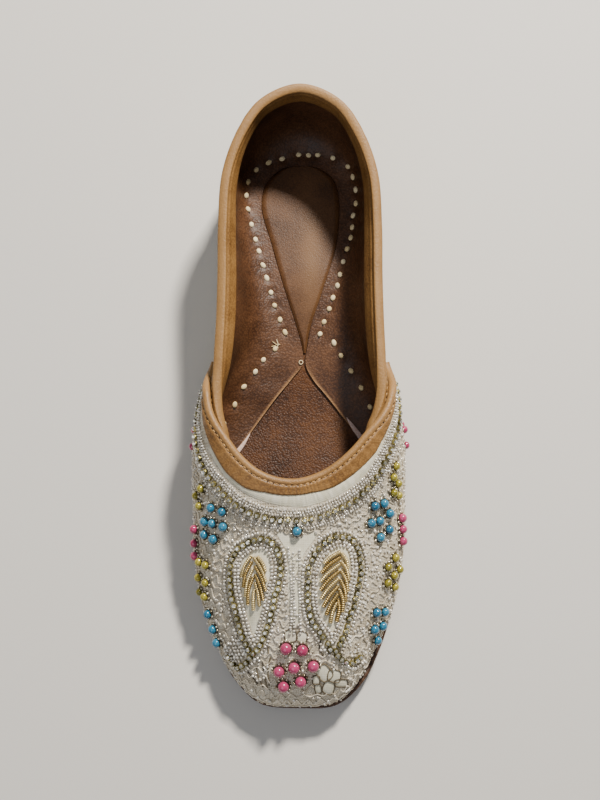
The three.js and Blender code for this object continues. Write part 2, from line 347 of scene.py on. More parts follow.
def make_piece(name, points, faces, material, flat=None, marks=None):
    """A mesh object from design points. flat is a UV place for each point, in millimetres."""
    mesh = bpy.data.meshes.new(name)
    mesh.from_pydata(placed(points).tolist(), [], faces)
    mesh.validate()
    edit = bmesh.new()
    edit.from_mesh(mesh)
    bmesh.ops.recalc_face_normals(edit, faces=edit.faces)
    edit.to_mesh(mesh)
    edit.free()
    mesh.polygons.foreach_set("use_smooth", [True] * len(mesh.polygons))
    mesh.set_sharp_from_angle(angle=SHARP_ANGLE)
    if flat is not None:
        corners = np.empty(len(mesh.loops), int)
        mesh.loops.foreach_get("vertex_index", corners)
        layer = mesh.uv_layers.new(name="flat")
        layer.data.foreach_set("uv", (np.asarray(flat).reshape(-1, 2)[corners] * MM).ravel())
    for mark, values in (marks or {}).items():
        attribute = mesh.attributes.new(mark, "FLOAT", "POINT")
        attribute.data.foreach_set("value", np.asarray(values, np.float32).ravel())
    mesh.materials.append(material)
    piece = bpy.data.objects.new(name, mesh)
    bpy.context.scene.collection.objects.link(piece)
    print(name, len(mesh.vertices), "points")
    return piece


def loft(shape, closed=False):
    """Faces of a solid through closed profiles. shape is how many profiles, and points in each."""
    count, around = shape
    number = np.arange(count * around).reshape(count, around)
    following = np.roll(number, -1, axis=0)
    last = count if closed else count - 1
    quads = np.stack([number, following, np.roll(following, -1, axis=1), np.roll(number, -1, axis=1)], -1)
    faces = quads[:last].reshape(-1, 4).tolist()
    if not closed:
        faces += [number[0].tolist(), number[-1][::-1].tolist()]
    return faces


def there_and_back(outer, inner):
    """One closed profile a section: along the outer face, and back along the inner one."""
    return np.concatenate([outer, inner[:, ::-1]], axis=1)


def sheet_piece(name, outer, inner, material, flat=None, marks=None, closed=False):
    """A sheet between two faces, which have a row of points for each section and the same flat and marks."""
    profiles = there_and_back(outer, inner)
    if flat is not None:
        flat = there_and_back(flat, flat)
    marks = {mark: there_and_back(values, values) for mark, values in (marks or {}).items()}
    faces = loft(profiles.shape[:2], closed)
    return make_piece(name, profiles.reshape(-1, 3), faces, material, flat, marks)


# %% Sections round the shoe
FINE = 14  # sections a station in the finished leather


def through_toe(station):
    return np.linspace(u_of(station), u_of(station, -1), int((HALF - station) * 2 * FINE) + 1)


def through_heel(station, steps=FINE):
    return np.linspace(-u_of(station), u_of(station), int(station * 2 * steps) + 1)


print("sections through the toe from the wings:", len(through_toe(7)))


# %% [markdown]
# ## Finishes
# Each finish is named for what it really is. Colours are written as on a paint chart, in sRGB hex, and
# turned to linear light once. One small function adds a node with its settings and links, so that a
# material reads as a short recipe. Pattern sizes are real millimetres.

# %% Colour, node and material helpers
def srgb(code):
    parts = [int(code[k:k + 2], 16) / 255 for k in (1, 3, 5)]
    return (*[c / 12.92 if c <= 0.04045 else ((c + 0.055) / 1.055) ** 2.4 for c in parts], 1)


def node(tree, kind, inputs=None, stops=None, **settings):
    """Adds a node. inputs are values or sockets to link, and stops are the colours of a ramp."""
    made = tree.nodes.new(kind)
    for key, value in settings.items():
        setattr(made, key, value)
    for socket, value in (inputs or {}).items():
        if isinstance(value, bpy.types.NodeSocket):
            tree.links.new(value, made.inputs[socket])
        else:
            made.inputs[socket].default_value = value
    if stops:
        ramp = made.color_ramp.elements
        while len(ramp) < len(stops):
            ramp.new(0.5)
        for element, (position, colour) in zip(ramp, stops):
            element.position = position
            element.color = srgb(colour) if isinstance(colour, str) else (colour, colour, colour, 1)
    return made


def per_mm(size):
    """Texture scale, on coordinates in metres, for a pattern of this size in millimetres."""
    return 1 / (size * MM)


def new_finish(name, **constants):
    """A material with one Principled shader. Constants are set on the shader's own sockets."""
    material = bpy.data.materials.new(name)
    material.use_nodes = True
    shader = material.node_tree.nodes["Principled BSDF"]
    for socket, value in constants.items():
        setting = srgb(value) if isinstance(value, str) else value
        shader.inputs[socket.replace("_", " ")].default_value = setting
    return material, material.node_tree, shader


def dress(tree, shader, height, distance, colour=None, roughness=None):
    """Links the last nodes of a recipe: bump height in millimetres, colour and roughness."""
    relief = node(tree, "ShaderNodeBump", {"Height": height, "Distance": distance * MM, "Strength": 1.0})
    tree.links.new(relief.outputs["Normal"], shader.inputs["Normal"])
    if colour is not None:
        tree.links.new(colour, shader.inputs["Base Color"])
    if roughness is not None:
        tree.links.new(roughness, shader.inputs["Roughness"])


# %% [markdown]
# ### Leather
# Leather is skin: a mosaic of small raised cells with fine folds between them, darker in the folds and
# polished on top. A Voronoi texture gives the cells, noise gives the patchy dye, and an attribute
# painted on the mesh says where handling has rubbed the dye thin; on the bindings the same mark also
# paints a pale highlight along the fold.

# %% Leather recipe
def leather(name, dark, mid, light, grain, relief, rough, wear_and_sheen=None, **constants):
    """Vegetable-tanned leather. grain is the size of its cells in mm, relief their height in mm."""
    material, tree, shader = new_finish(name, **constants)
    place = node(tree, "ShaderNodeTexCoord").outputs["Object"]
    warp = node(tree, "ShaderNodeTexNoise", {"Vector": place, "Scale": per_mm(grain * 1.6), "Detail": 2.0})
    bent = node(tree, "ShaderNodeMix", {0: 0.0012, 4: place, 5: warp.outputs["Color"]}, data_type="VECTOR")
    cells = node(tree, "ShaderNodeTexVoronoi", {"Vector": bent.outputs[1], "Scale": per_mm(grain)},
                 feature="F1")
    folds = node(tree, "ShaderNodeMapRange", {"Value": cells.outputs["Distance"], 1: 0.15, 2: 0.75,
                                              3: 1.0, 4: 0.0})
    pores = node(tree, "ShaderNodeTexNoise", {"Vector": place, "Scale": per_mm(grain * 0.35), "Detail": 3.0})
    height = node(tree, "ShaderNodeMath", {0: pores.outputs["Fac"], 1: 0.45, 2: folds.outputs[0]},
                  operation="MULTIPLY_ADD")
    patches = node(tree, "ShaderNodeTexNoise", {"Vector": place, "Scale": per_mm(14.0), "Detail": 5.0,
                                                "Roughness": 0.62})
    blend = node(tree, "ShaderNodeMath", {0: folds.outputs[0], 1: 0.3, 2: patches.outputs["Fac"]},
                 operation="MULTIPLY_ADD")
    dye = node(tree, "ShaderNodeValToRGB", {"Fac": blend.outputs[0]},
               stops=[(0.36, dark), (0.62, mid), (0.9, light)])
    colour = dye.outputs["Color"]
    # A paler colour mixed in by the mesh's mark: real wear, and on the bindings also a painted highlight on
    # the fold.
    if wear_and_sheen:
        rub_and_sheen = node(tree, "ShaderNodeAttribute", attribute_name="wear_and_sheen")
        colour = node(tree, "ShaderNodeMix", {0: rub_and_sheen.outputs["Fac"], 6: colour, 7: srgb(wear_and_sheen)},
                      data_type="RGBA").outputs[2]
    sheen = node(tree, "ShaderNodeMapRange", {"Value": patches.outputs["Fac"], 1: 0.3, 2: 0.7,
                                              3: rough - 0.08, 4: rough + 0.1})
    dress(tree, shader, height.outputs[0], relief, colour, sheen.outputs[0])
    return material


# %% The leathers of this shoe
# Soft tan sheep leather, dyed and glazed, with an even grain. Its paler colour where it is folded is partly
# wear and partly a painted highlight.
tan_binding = leather("glazed_tan_binding_leather", "#674622", "#866031", "#98703D", 0.8, 0.06, 0.5,
                      wear_and_sheen="#A07A4A", Specular_IOR_Level=0.45)
# Goat lining leather, pebble grained and glazed.
lining_leather = leather("glazed_goat_lining_leather", "#362012", "#4E311C", "#644228", 0.9, 0.09, 0.5,
                         wear_and_sheen="#A27A52", Specular_IOR_Level=0.35, Coat_Weight=0.05, Coat_Roughness=0.35)
# The insole is the same hide, with its pebble pressed deeper.
insole_leather = leather("pebbled_goat_insole_leather", "#2C1504", "#48270A", "#5F3812", 0.8, 0.11, 0.5,
                         Specular_IOR_Level=0.35)
# The heel pad is skived smooth and polished by the hand that glued it down.
pad_leather = leather("smooth_glazed_pad_leather", "#3E2614", "#54361C", "#644326", 0.6, 0.03, 0.46,
                      wear_and_sheen="#7E5C3A", Specular_IOR_Level=0.35, Coat_Weight=0.05, Coat_Roughness=0.35)
# Buffalo sole leather, cut with a knife: dry, fibrous and dark at the edge.
sole_leather = leather("cut_buffalo_sole_leather", "#33200F", "#4C3220", "#6A4A30", 1.4, 0.12, 0.66,
                       wear_and_sheen="#7E5C3C")
# The raw flesh side of the lining, undyed, where its cut edge turns up.
raw_leather = leather("raw_split_leather", "#C79F8C", "#DDBDB0", "#EAD6CC", 0.7, 0.05, 0.75)

# %% [markdown]
# ### Cloth
# The front is a silver tissue: cotton woven with metal-wrapped threads. Its weave is about half a
# millimetre, so we draw warp and weft as two crossing waves on the flat cut pattern of the cloth, and
# a soft noise for the way it bags between the embroidery stitches. Satin is smoother: long floats that
# all run one way, which is why it has one broad shine.

# %% Cloth recipes
def woven(name, dark, mid, light, thread, relief, rough, bag=4.0, **constants):
    """A plain weave on the flat cut pattern. thread is the spacing in mm."""
    material, tree, shader = new_finish(name, **constants)
    flat = node(tree, "ShaderNodeUVMap", uv_map="flat").outputs[0]
    spacing = per_mm(thread) / (2 * math.pi)
    warp, weft = (node(tree, "ShaderNodeTexWave", {"Vector": flat, "Scale": spacing, "Distortion": 1.2},
                       bands_direction=way).outputs["Fac"] for way in "XY")
    weave = node(tree, "ShaderNodeMath", {0: warp, 1: weft}, operation="MAXIMUM")
    bagging = node(tree, "ShaderNodeTexNoise", {"Vector": flat, "Scale": per_mm(bag), "Detail": 4.0,
                                                "Roughness": 0.7})
    height = node(tree, "ShaderNodeMath", {0: weave.outputs[0], 1: 0.35, 2: bagging.outputs["Fac"]},
                  operation="MULTIPLY_ADD")
    blend = node(tree, "ShaderNodeMath", {0: weave.outputs[0], 1: 0.18, 2: bagging.outputs["Fac"]},
                 operation="MULTIPLY_ADD")
    threads = node(tree, "ShaderNodeValToRGB", {"Fac": blend.outputs[0]},
                   stops=[(0.42, dark), (0.6, mid), (0.8, light)])
    dress(tree, shader, height.outputs[0], relief, threads.outputs["Color"])
    shader.inputs["Roughness"].default_value = rough
    return material


# %% The tissue and the satins
# Silver zari tissue: cotton with metal thread, greyed, with a dull metallic glint.
silver_tissue = woven("silver_zari_tissue", "#9E917A", "#C9BEA8", "#E4DCCA", 0.55, 0.4, 0.55, Metallic=0.08,
                      Specular_IOR_Level=0.5)
# Cream cotton-backed satin for the quarters, the border and the filled shapes.
cream_satin = woven("cream_cotton_satin", "#CBC5A9", "#E0DAC0", "#EEE9D5", 0.35, 0.08, 0.42, bag=7.0,
                    Sheen_Weight=0.25, Anisotropic=0.4)
quarter_satin = woven("cream_quarter_satin", "#B9B096", "#CEC5AC", "#DCD5C1", 0.4, 0.12, 0.5, bag=6.0,
                      Sheen_Weight=0.2)

# %% [markdown]
# ### Beads, stones, thread and wire
# A seed bead is a short length of glass tube lined with silver, so it looks like a tiny mirror with a
# clear skin. A pearl bead is painted glass under lacquer. Bullion is gilt wire wound into a spring. All
# of them get their tone from "tint", a random number given to each one when it is set, because no two
# beads in a lot are quite alike.

# %% Bead and thread recipes
def beadlike(name, dark, light, **constants):
    """A finish whose tone varies from bead to bead."""
    material, tree, shader = new_finish(name, **constants)
    tint = node(tree, "ShaderNodeAttribute", attribute_name="tint")
    tone = node(tree, "ShaderNodeValToRGB", {"Fac": tint.outputs["Fac"]}, stops=[(0.0, dark), (1.0, light)])
    tree.links.new(tone.outputs["Color"], shader.inputs["Base Color"])
    return material


# %% Glass, stone, pearl, wire and thread
# Silver-lined glass: bright, slightly warm, with a sharp clear highlight.
seed_glass = beadlike("silver_lined_glass", "#BDB5A6", "#FAF6EC", Metallic=0.15, Roughness=0.16,
                      Coat_Weight=0.8, Coat_Roughness=0.06)
# Foil-backed cut crystal reads as a mirror with flat facets.
crystal = beadlike("foil_backed_crystal", "#C6C3AE", "#FFFFFF", Metallic=0.8, Roughness=0.08,
                   Coat_Weight=1.0, Coat_Roughness=0.02)
# Stamped brass cups, gone olive in their hollows.
cup_brass = beadlike("stamped_brass_cup", "#5C562B", "#A89C60", Metallic=0.8, Roughness=0.35)
# Painted pearls under lacquer: one small soft highlight on a deep even colour.
blue_pearl = beadlike("turquoise_lacquered_pearl", "#175C7E", "#3183A3", Roughness=0.2, Coat_Weight=0.7,
                      Coat_Roughness=0.08)
pink_pearl = beadlike("rose_lacquered_pearl", "#98244D", "#B8426E", Roughness=0.22, Coat_Weight=0.7,
                      Coat_Roughness=0.1)
gold_pearl = beadlike("olive_gold_lacquered_pearl", "#77701C", "#B5A83C", Metallic=0.25, Roughness=0.25,
                      Coat_Weight=0.6, Coat_Roughness=0.1)
# Tiny plated metal balls, worn warm where the silver has gone.
silver_shot = beadlike("silver_shot_bead", "#8C7F5E", "#F0EAD8", Metallic=0.7, Roughness=0.2)
# Gilt copper wire: a pale gold that is brightest on each turn of the spring.
gilt_bullion = beadlike("gilt_bullion_wire", "#94793E", "#D8C48E", Metallic=0.65, Roughness=0.3)
# Metal-wrapped cotton cord, dull, a little darker than the cloth it lies on.
silver_cord = beadlike("silver_couching_cord", "#B0A48C", "#E6DDCA", Metallic=0.2, Roughness=0.42)
# Dark umber thread. Laid round each pearl, it is also a painted shade for the gap there.
dark_thread_and_shade = beadlike("umber_thread_and_shade", "#4A4030", "#6F634C", Roughness=0.7)
# Cotton drawn over a lump of wax: matt, warm, with a soft edge.
white_cotton = beadlike("waxed_white_cotton", "#DCC590", "#F6E7BE", Roughness=0.7, Sheen_Weight=0.2)
brown_thread = beadlike("waxed_brown_thread", "#8A6530", "#C49C64", Roughness=0.5)
print("finishes:", len(bpy.data.materials))

# %% [markdown]
# ## Sole, heel and insole
# The sole is one thick cut of buffalo leather, and the heel is two more layers pegged under it. A
# Bevel modifier on an extruded outline would do for a flat plate, but this one has an arch and a toe
# spring, so we sweep an edge profile instead: small steps in from the outline, each with its height.

# %% Plates across the shoe
TIP = 0.004  # plates start and end this close to the middle line, in stations


def plate_piece(name, stations, edge, across, material, outline=sole_ring, marks=None):
    """A plate. edge lists (inset, height function) from the top's rim round to the bottom's rim."""
    sections = []
    for station in stations:
        right, left = u_of(station), u_of(station, -1)
        rim = []
        for u in (right, left):
            line = []
            for inset, height in edge:
                point = outline(u) - outward(outline, u) * inset
                point[2] = height(point[1])
                line.append(point)
            rim.append(np.array(line))
        share = np.linspace(0, 1, across + 2)[1:-1, None]
        top = rim[1][0] + (rim[0][0] - rim[1][0]) * share
        bottom = rim[0][-1] + (rim[1][-1] - rim[0][-1]) * share
        top[:, 2] = edge[0][1](top[:, 1])
        bottom[:, 2] = edge[-1][1](bottom[:, 1])
        sections.append(np.concatenate([top, rim[0], bottom, rim[1][::-1]]))
    sections = np.array(sections)
    wear_and_sheen = {"wear_and_sheen": marks(sections)} if marks else None
    return make_piece(name, sections.reshape(-1, 3), loft(sections.shape[:2]), material, marks=wear_and_sheen)


def plate_stations(start, end):
    return np.linspace(start, end, int((end - start) * FINE) + 1)


# %% The outsole
# Each row is how far in from the outline, and at what height: a waxed edge with one creased line.
SOLE_EDGE = [
    (1.1, sole_top),
    (0.45, lambda y: sole_top(y) - 0.12),
    (0.08, lambda y: sole_top(y) - 0.5),
    (0.0, lambda y: sole_top(y) - 1.2),
    (0.16, lambda y: sole_top(y) - 1.95),
    (0.16, lambda y: sole_top(y) - 2.1),
    (0.0, lambda y: sole_top(y) - 2.8),
    (0.15, lambda y: underside(y) + 0.5),
    (0.5, lambda y: underside(y) + 0.14),
    (1.1, underside),
]
TREAD_Y, TREAD_LENGTH, TREAD_WIDTH = -55, 38, 24


def sole_wear(sections):
    """Rubbed thin on the tread, where the ball of the foot presses."""
    x, y, z = np.moveaxis(sections, -1, 0)
    under = z < sole_top(y) - SOLE_THICKNESS + 0.3
    tread = np.exp(-((y - TREAD_Y) / TREAD_LENGTH) ** 2 - (x / TREAD_WIDTH) ** 2)
    return np.where(under, 0.25 + 0.6 * tread, 0.0)


plate_piece("outsole_leather", plate_stations(TIP, HALF - TIP), SOLE_EDGE, 12, sole_leather, marks=sole_wear)

# %% The heel lift, two pegged layers
HEEL_PLY, PLY_GAP = 3.8, 0.1
HEEL_INSET, HEEL_LEAN = 0.3, 0.9  # the stack is trimmed narrower towards the ground
PLY_ROUND_IN, PLY_ROUND_UP = 0.35, 0.3


def heel_edge():
    edge = []
    for layer in (1, 0):
        base = layer * (HEEL_PLY + PLY_GAP)
        head = HEEL_INSET + HEEL_LEAN * (1 - (base + HEEL_PLY) / HEEL_LIFT)
        foot = HEEL_INSET + HEEL_LEAN * (1 - base / HEEL_LIFT)
        for inset, z in ((head + PLY_ROUND_IN, HEEL_PLY), (head, HEEL_PLY - PLY_ROUND_UP),
                         (foot, PLY_ROUND_UP), (foot + PLY_ROUND_IN, 0)):
            edge.append((inset, lambda y, z=z, base=base: base + z + 0 * y))
    return edge


def station_of_edge(y):
    stations = np.linspace(0, HALF, 2001)
    return stations[np.argmin(np.abs(sole_ring(u_of(stations))[:, 1] - y))]


plate_piece("stacked_heel_lift", plate_stations(TIP, station_of_edge(HEEL_BREAST)), heel_edge(), 8,
            sole_leather)

# %% The insole board and its leather
INSOLE_INSET = UPPER_WALL + 2 * GAP


def insole_base(y):
    return sole_top(y) + GAP


INSOLE_TIP = 0.1
insole = plate_piece("insole_board", plate_stations(INSOLE_TIP, HALF - INSOLE_TIP), [
    (INSOLE_INSET + 0.5, insole_top),
    (INSOLE_INSET, lambda y: insole_top(y) - 0.4),
    (INSOLE_INSET, lambda y: insole_base(y) + 0.2),
    (INSOLE_INSET + 0.3, insole_base),
], 16, insole_leather, outline=seam)

# %% [markdown]
# ## The upper
# The quarters are a cream cloth over a leather lining, one wall round the whole shoe that runs on under
# the beaded front. We build the two layers as separate walls at their own depths. The quarters' top
# line dives under the front on both sides, which is what upper_drop says.

# %% How far below the collar line each layer stops
VAMP_REAR, WING_DROP, WING_END = 7, 2.6, 10.2
VAMP_FLARE, VAMP_FLARE_DEPTH = 3.1, 30
TUCK_START, TUCK_END, TUCK_DEPTH = 9.4, 11.2, 5
CLOTH, LAYER_GAP = 0.7, 0.1
WING_HUG, HUG_FULL, HUG_END = 0.9, 8, 10.5  # the wings are pulled in against the quarters
WING_CORNER = 8.0  # each wing's top line drops away at its end, so that the corner is rounded


def upper_drop(u):
    return TUCK_DEPTH * smoothstep(station_at(u), TUCK_START, TUCK_END)


def vamp_drop(u):
    corner = WING_CORNER * (1 - smoothstep(station_at(u), VAMP_REAR, VAMP_REAR + 1.1))
    return corner + WING_DROP * (1 - smoothstep(station_at(u), VAMP_REAR, WING_END))


def rows_between(low, high, count):
    """A row of evenly spaced shares for each u."""
    return low[:, None] + (high - low)[:, None] * np.linspace(0, 1, count)


# %% Quarters and lining
round_u = np.arange(2 * HALF * FINE) / (2 * HALF * FINE)
wall_top = share_below(round_u, upper_drop(round_u) + 0.3)
wall_rows = rows_between(np.zeros_like(round_u), wall_top, 34)
wall_u = round_u[:, None]
wall_flat = cut_pattern(wall_u, wall_rows)
for name, outer, inner, finish in (("quarter_cloth", 0.0, -CLOTH, quarter_satin),
                                   ("quarter_lining", -CLOTH - LAYER_GAP, -UPPER_WALL, lining_leather)):
    sheet_piece(name, surface(wall_u, wall_rows, outer), surface(wall_u, wall_rows, inner), finish,
                wall_flat, closed=True)

# %% [markdown]
# ## The beaded front
# The front is stiff with embroidery, so it does not lie dead flat on the quarters: it flares at its
# edge and has a few soft hollows from handling. Each hollow is listed in a short table, in
# station numbers and millimetres, and everything that lies on the front reads the same function.

# %% The front's surface, with its creases
CREASE_COLUMNS = ("place", "drop", "along", "across", "depth")
CREASES = [dict(zip(CREASE_COLUMNS, row)) for row in (
    (12.2, 24, 1.2, 9, -0.8),  # hollow between the throat and the right paisley
    (19.6, 27, 1.1, 9, -0.9),  # the same on the left
    (16.0, 40, 2.2, 12, 0.7),  # ridge over the toes
    (13.4, 74, 0.8, 8, -0.7),  # pinch at the right toe corner
    (18.4, 76, 0.9, 8, -0.6),  # pinch at the left toe corner
    (10.2, 33, 0.5, 10, -0.5),  # flex fold at the right joint
    (21.7, 34, 0.5, 10, -0.5),  # flex fold at the left joint
)]


def creased(u, drop):
    """Soft troughs and ridges. place counts stations round the whole ring, from the heel by the right."""
    place = (np.asarray(u) % 1) * 2 * HALF
    lift = np.zeros(np.broadcast(place, drop).shape)
    for crease in CREASES:
        beside = (place - crease["place"]) / crease["along"]
        below = (drop - crease["drop"]) / crease["across"]
        lift += crease["depth"] * np.exp(-beside**2 - below**2)
    return lift


def vamp_depth(u, t):
    """Depth of the front's inner face: it stands off the quarters towards its own edge."""
    flare = VAMP_FLARE - WING_HUG * (1 - smoothstep(station_at(u), HUG_FULL, HUG_END))
    return GAP + flare * smoothstep(t, share_below(u, VAMP_FLARE_DEPTH), 1)


def on_front(u, t, lift=0.0):
    """A point on the front's outer face, or lift millimetres off it."""
    return surface(u, t, vamp_depth(u, t) + VAMP_WALL + creased(u, drop_at(u, t)) + lift)


def front_foot(u):
    """The lowest share where the front's outer face is clear of the sole, for each u."""
    shares = np.linspace(0, 0.3, 61)
    faces = surface(u[:, None], shares[None], GAP + VAMP_WALL)
    clear = faces[..., 2] >= sole_top(faces[..., 1]) + GAP
    away = ((faces - sole_ring(u)[:, None]) * outward(sole_ring, u)[:, None]).sum(-1)
    return shares[np.argmax(clear | (away >= GAP), axis=1)]


# %% The front's cloth
front_u = through_toe(VAMP_REAR)
front_rows = rows_between(front_foot(front_u), share_below(front_u, vamp_drop(front_u) + 0.2), 48)
outer_face = on_front(front_u[:, None], front_rows)
inner_face = surface(front_u[:, None], front_rows, vamp_depth(front_u[:, None], front_rows))
front = sheet_piece("beaded_front_cloth", outer_face, inner_face, silver_tissue,
                    cut_pattern(front_u[:, None], front_rows))

# %% [markdown]
# ## Bindings
# A strip of soft tan leather is folded over each raw edge and stitched down. Its section is two flat
# legs and a round fold, and the cut end of each leg is skived thin. The fold is coloured paler, partly
# as rubbed wear and partly as a painted highlight along its crown, and the section carries that mark
# itself. The collar's inside leg has the groove of its first seam.

# %% Sizes of a folded strip
LEG_OUT_STEPS, LEG_IN_STEPS, FOLD_STEPS = 22, 26, 15
SKIVE, SKIVE_WIDTH = 0.45, 0.5  # the share of its thickness pared off each cut end, and over what width
PINCH_WIDTH = 1.4
GROOVE_WIDTH, GROOVE_DEPTH = 0.4, 0.35
ROLL_BELOW, ROLL_WIDTH, ROLL_RISE = 1, 0.8, 0.12  # the leather rolls up a little beside its seam
PUCKER_RISE = 0.22
# How pale the fold is painted, and over what width: wear together with a painted highlight.
FOLD_RUB_AND_SHEEN, RUB_AND_SHEEN_WIDTH = 0.35, 1.5


def bump_at(drop, centre, width, depth):
    return depth * np.exp(-((drop - centre) / width) ** 2)


def seam_line(leg, drop):
    """The groove that a row of stitches pulls in a leg, and the roll beside it."""
    groove = bump_at(leg, drop, GROOVE_WIDTH, -GROOVE_DEPTH)
    return groove + bump_at(leg, drop + ROLL_BELOW, ROLL_WIDTH, ROLL_RISE)


def skived(leg, length):
    return 1 - SKIVE * smoothstep(leg, length - SKIVE_WIDTH, length)


print("seam groove, mm:", seam_line(1.0, 1.0).round(2))

# %% Folded strips
def binding_piece(name, u, edge, legs, outer, inner, seams, pucker, reach, pinch_by=0.0, stand=0.0):
    """A folded strip. outer and inner give the wall's two faces, seams are (side, drop) of its grooves.

    The strip's outer face is pinched at the fold, grooved at the seams and puckered between stitches. Its
    inside leg may stand off the wall by its cut end, and reach is how far the fold overshoots the edge.
    """
    u = u[:, None]
    edge = edge[:, None]
    outside, inside = legs
    outside = np.broadcast_to(outside, u.shape[:1])[:, None]
    leg_out = outside * np.linspace(1, 0, LEG_OUT_STEPS)
    leg_in = np.linspace(0, inside, LEG_IN_STEPS)[None]
    angle = np.linspace(0, math.pi, FOLD_STEPS)[None, 1:-1]
    top_out = outer(u, share_below(u, edge))
    top_in = inner(u, share_below(u, edge))
    stitch = np.cumsum(np.ones_like(u), axis=0)
    wave = pucker * np.sin(stitch * 1.05 + 0.6 * np.sin(u * 97)) * 0.5
    faces = []
    for off in (BINDING + FOLD_GAP, FOLD_GAP):
        pinch = 0
        swell = 0
        out_off = off
        in_off = off
        if off > FOLD_GAP:
            pinch = pinch_by
            swell = wave * bump_at(leg_out, outside * 0.55, outside * 0.35, PUCKER_RISE)
            out_off = off * skived(leg_out, outside) - bump_at(leg_out, 0, PINCH_WIDTH, pinch)
            in_off = off * skived(leg_in, inside) - bump_at(leg_in, 0, PINCH_WIDTH, pinch)
        in_off = in_off + stand * smoothstep(leg_in, 0.6, inside)
        for side, drop in seams if off > FOLD_GAP else ():
            if side > 0:
                out_off = out_off + seam_line(leg_out, drop)
            else:
                in_off = in_off + seam_line(leg_in, drop)
        middle, half = (top_out + top_in) / 2, (top_out - top_in) / 2 + off - pinch
        faces.append(np.concatenate([
            near_collar(u, edge + leg_out, outer(u, share_below(u, edge + leg_out)) + out_off + swell),
            near_collar(u, edge - (off + reach) * np.sin(angle), middle + half * np.cos(angle)),
            near_collar(u, edge + leg_in, inner(u, share_below(u, edge + leg_in)) - in_off),
        ], axis=1))
    # Paler towards the fold and most at its crown: rubbed wear and a painted highlight together.
    wear_and_sheen = np.concatenate([
        bump_at(leg_out, 0, RUB_AND_SHEEN_WIDTH, FOLD_RUB_AND_SHEEN),
        FOLD_RUB_AND_SHEEN + 0.25 * np.sin(angle) + 0 * u,
        bump_at(leg_in, 0, RUB_AND_SHEEN_WIDTH * 0.8, FOLD_RUB_AND_SHEEN) + 0 * u,
    ], axis=1)
    return sheet_piece(name, *faces, tan_binding, marks={"wear_and_sheen": wear_and_sheen})


# %% The collar's strip
COLLAR_BINDING_END = 11
COLLAR_GROOVE = 1.4
COLLAR_SEAM = 1.7
COLLAR_SWELL = 0.5  # the cloth under the collar's strip is turned double
collar_u = through_heel(COLLAR_BINDING_END)
collar_binding = binding_piece(
    "collar_binding_strip", collar_u, upper_drop(collar_u), (4, 8), lambda u, t: 0 * t + COLLAR_SWELL,
    lambda u, t: 0 * t - UPPER_WALL, [(-1, COLLAR_GROOVE), (1, COLLAR_SEAM)], pucker=0.4, reach=-0.15,
    pinch_by=0.25, stand=1.5)

# %% The throat's strip
THROAT_SEAM = 1.0
# The strip was cut by eye: its outside leg, by place round the ring in stations, in millimetres.
THROAT_LEG_PLACES = (7, 8.1, 9.1, 10.4, 11.6, 13, 14.9, 17.2, 19, 20, 21, 22.2, 23.2, 24, 25)
THROAT_LEG = (0.9, 1.5, 3.8, 6.5, 6.3, 6.1, 5.0, 4.9, 5.4, 7.2, 7.3, 5.8, 3.6, 1.5, 0.9)
throat_u = through_toe(VAMP_REAR)
throat_leg = np.interp(throat_u * 2 * HALF, THROAT_LEG_PLACES, THROAT_LEG)
throat_binding = binding_piece(
    "throat_binding_strip", throat_u, vamp_drop(throat_u), (throat_leg, 3.5),
    lambda u, t: vamp_depth(u, t) + VAMP_WALL + creased(u, drop_at(u, t)), vamp_depth,
    [(1, THROAT_SEAM)], pucker=1.0, reach=0.7)

# %% [markdown]
# ## The turned-in lining and the heel pad
# The lining's lower edge is not cut off at the wall: it is turned in over the insole and sewn down with
# large cotton stitches, left and right, until the two flaps meet at the waist. Their front edges run
# back out to the walls. Each flap is a smooth curve from a place on the wall to its own edge, which a
# short table gives in plan. The heel pad lies between the flaps.

# %% Edges of the flaps, in plan
FLAP_COLUMNS = ("station", "rightX", "rightY", "leftX", "leftY")
FLAP_ROWS = (
    (0, 0, 104.8, 0, 104.8),
    (0.5, 4.6, 104.6, -4.2, 104.4),
    (1, 8.6, 103.4, -8, 103.2),
    (2, 14.8, 98, -14.6, 96.6),
    (3, 17, 87, -16.7, 86.4),
    (4, 15.6, 68.5, -12.2, 69),
    (5, 9.9, 49, -6.9, 50),
    (6, 4.8, 33.5, -1.8, 34),
    (6.6, 3.2, 25, 0.6, 25.5),
    (7, 2.4, 17.4, 1.2, 17.8),
    (7.4, 5.6, 11, -3.6, 11.2),
    (8, 11.4, 4, -10, 3.4),
    (9, 24.8, -13.6, -22.4, -13.6),
    (9.8, 33.4, -25.4, -31.4, -25.8),
)
FLAPS = [dict(zip(FLAP_COLUMNS, row)) for row in FLAP_ROWS]
FLAP_END = FLAPS[-1]["station"]
FLAP_THICKNESS = 0.9
flap_stations = [row["station"] for row in FLAPS]
right_edge = through([(row["rightX"], row["rightY"], 0) for row in FLAPS])
left_edge = through([(row["leftX"], row["leftY"], 0) for row in FLAPS])


def flap_edge(u):
    """The flap's edge in plan at u, on its own side."""
    share = np.interp(station_at(u), flap_stations, np.linspace(0, 1, len(flap_stations)))
    on_right = (np.asarray(u) % 1 < 0.5)[..., None]
    return np.where(on_right, right_edge(share), left_edge(share))


print("the flaps nearly meet at, mm:", flap_edge(u_of(7.0)).round(1), flap_edge(u_of(7.0, -1)).round(1))

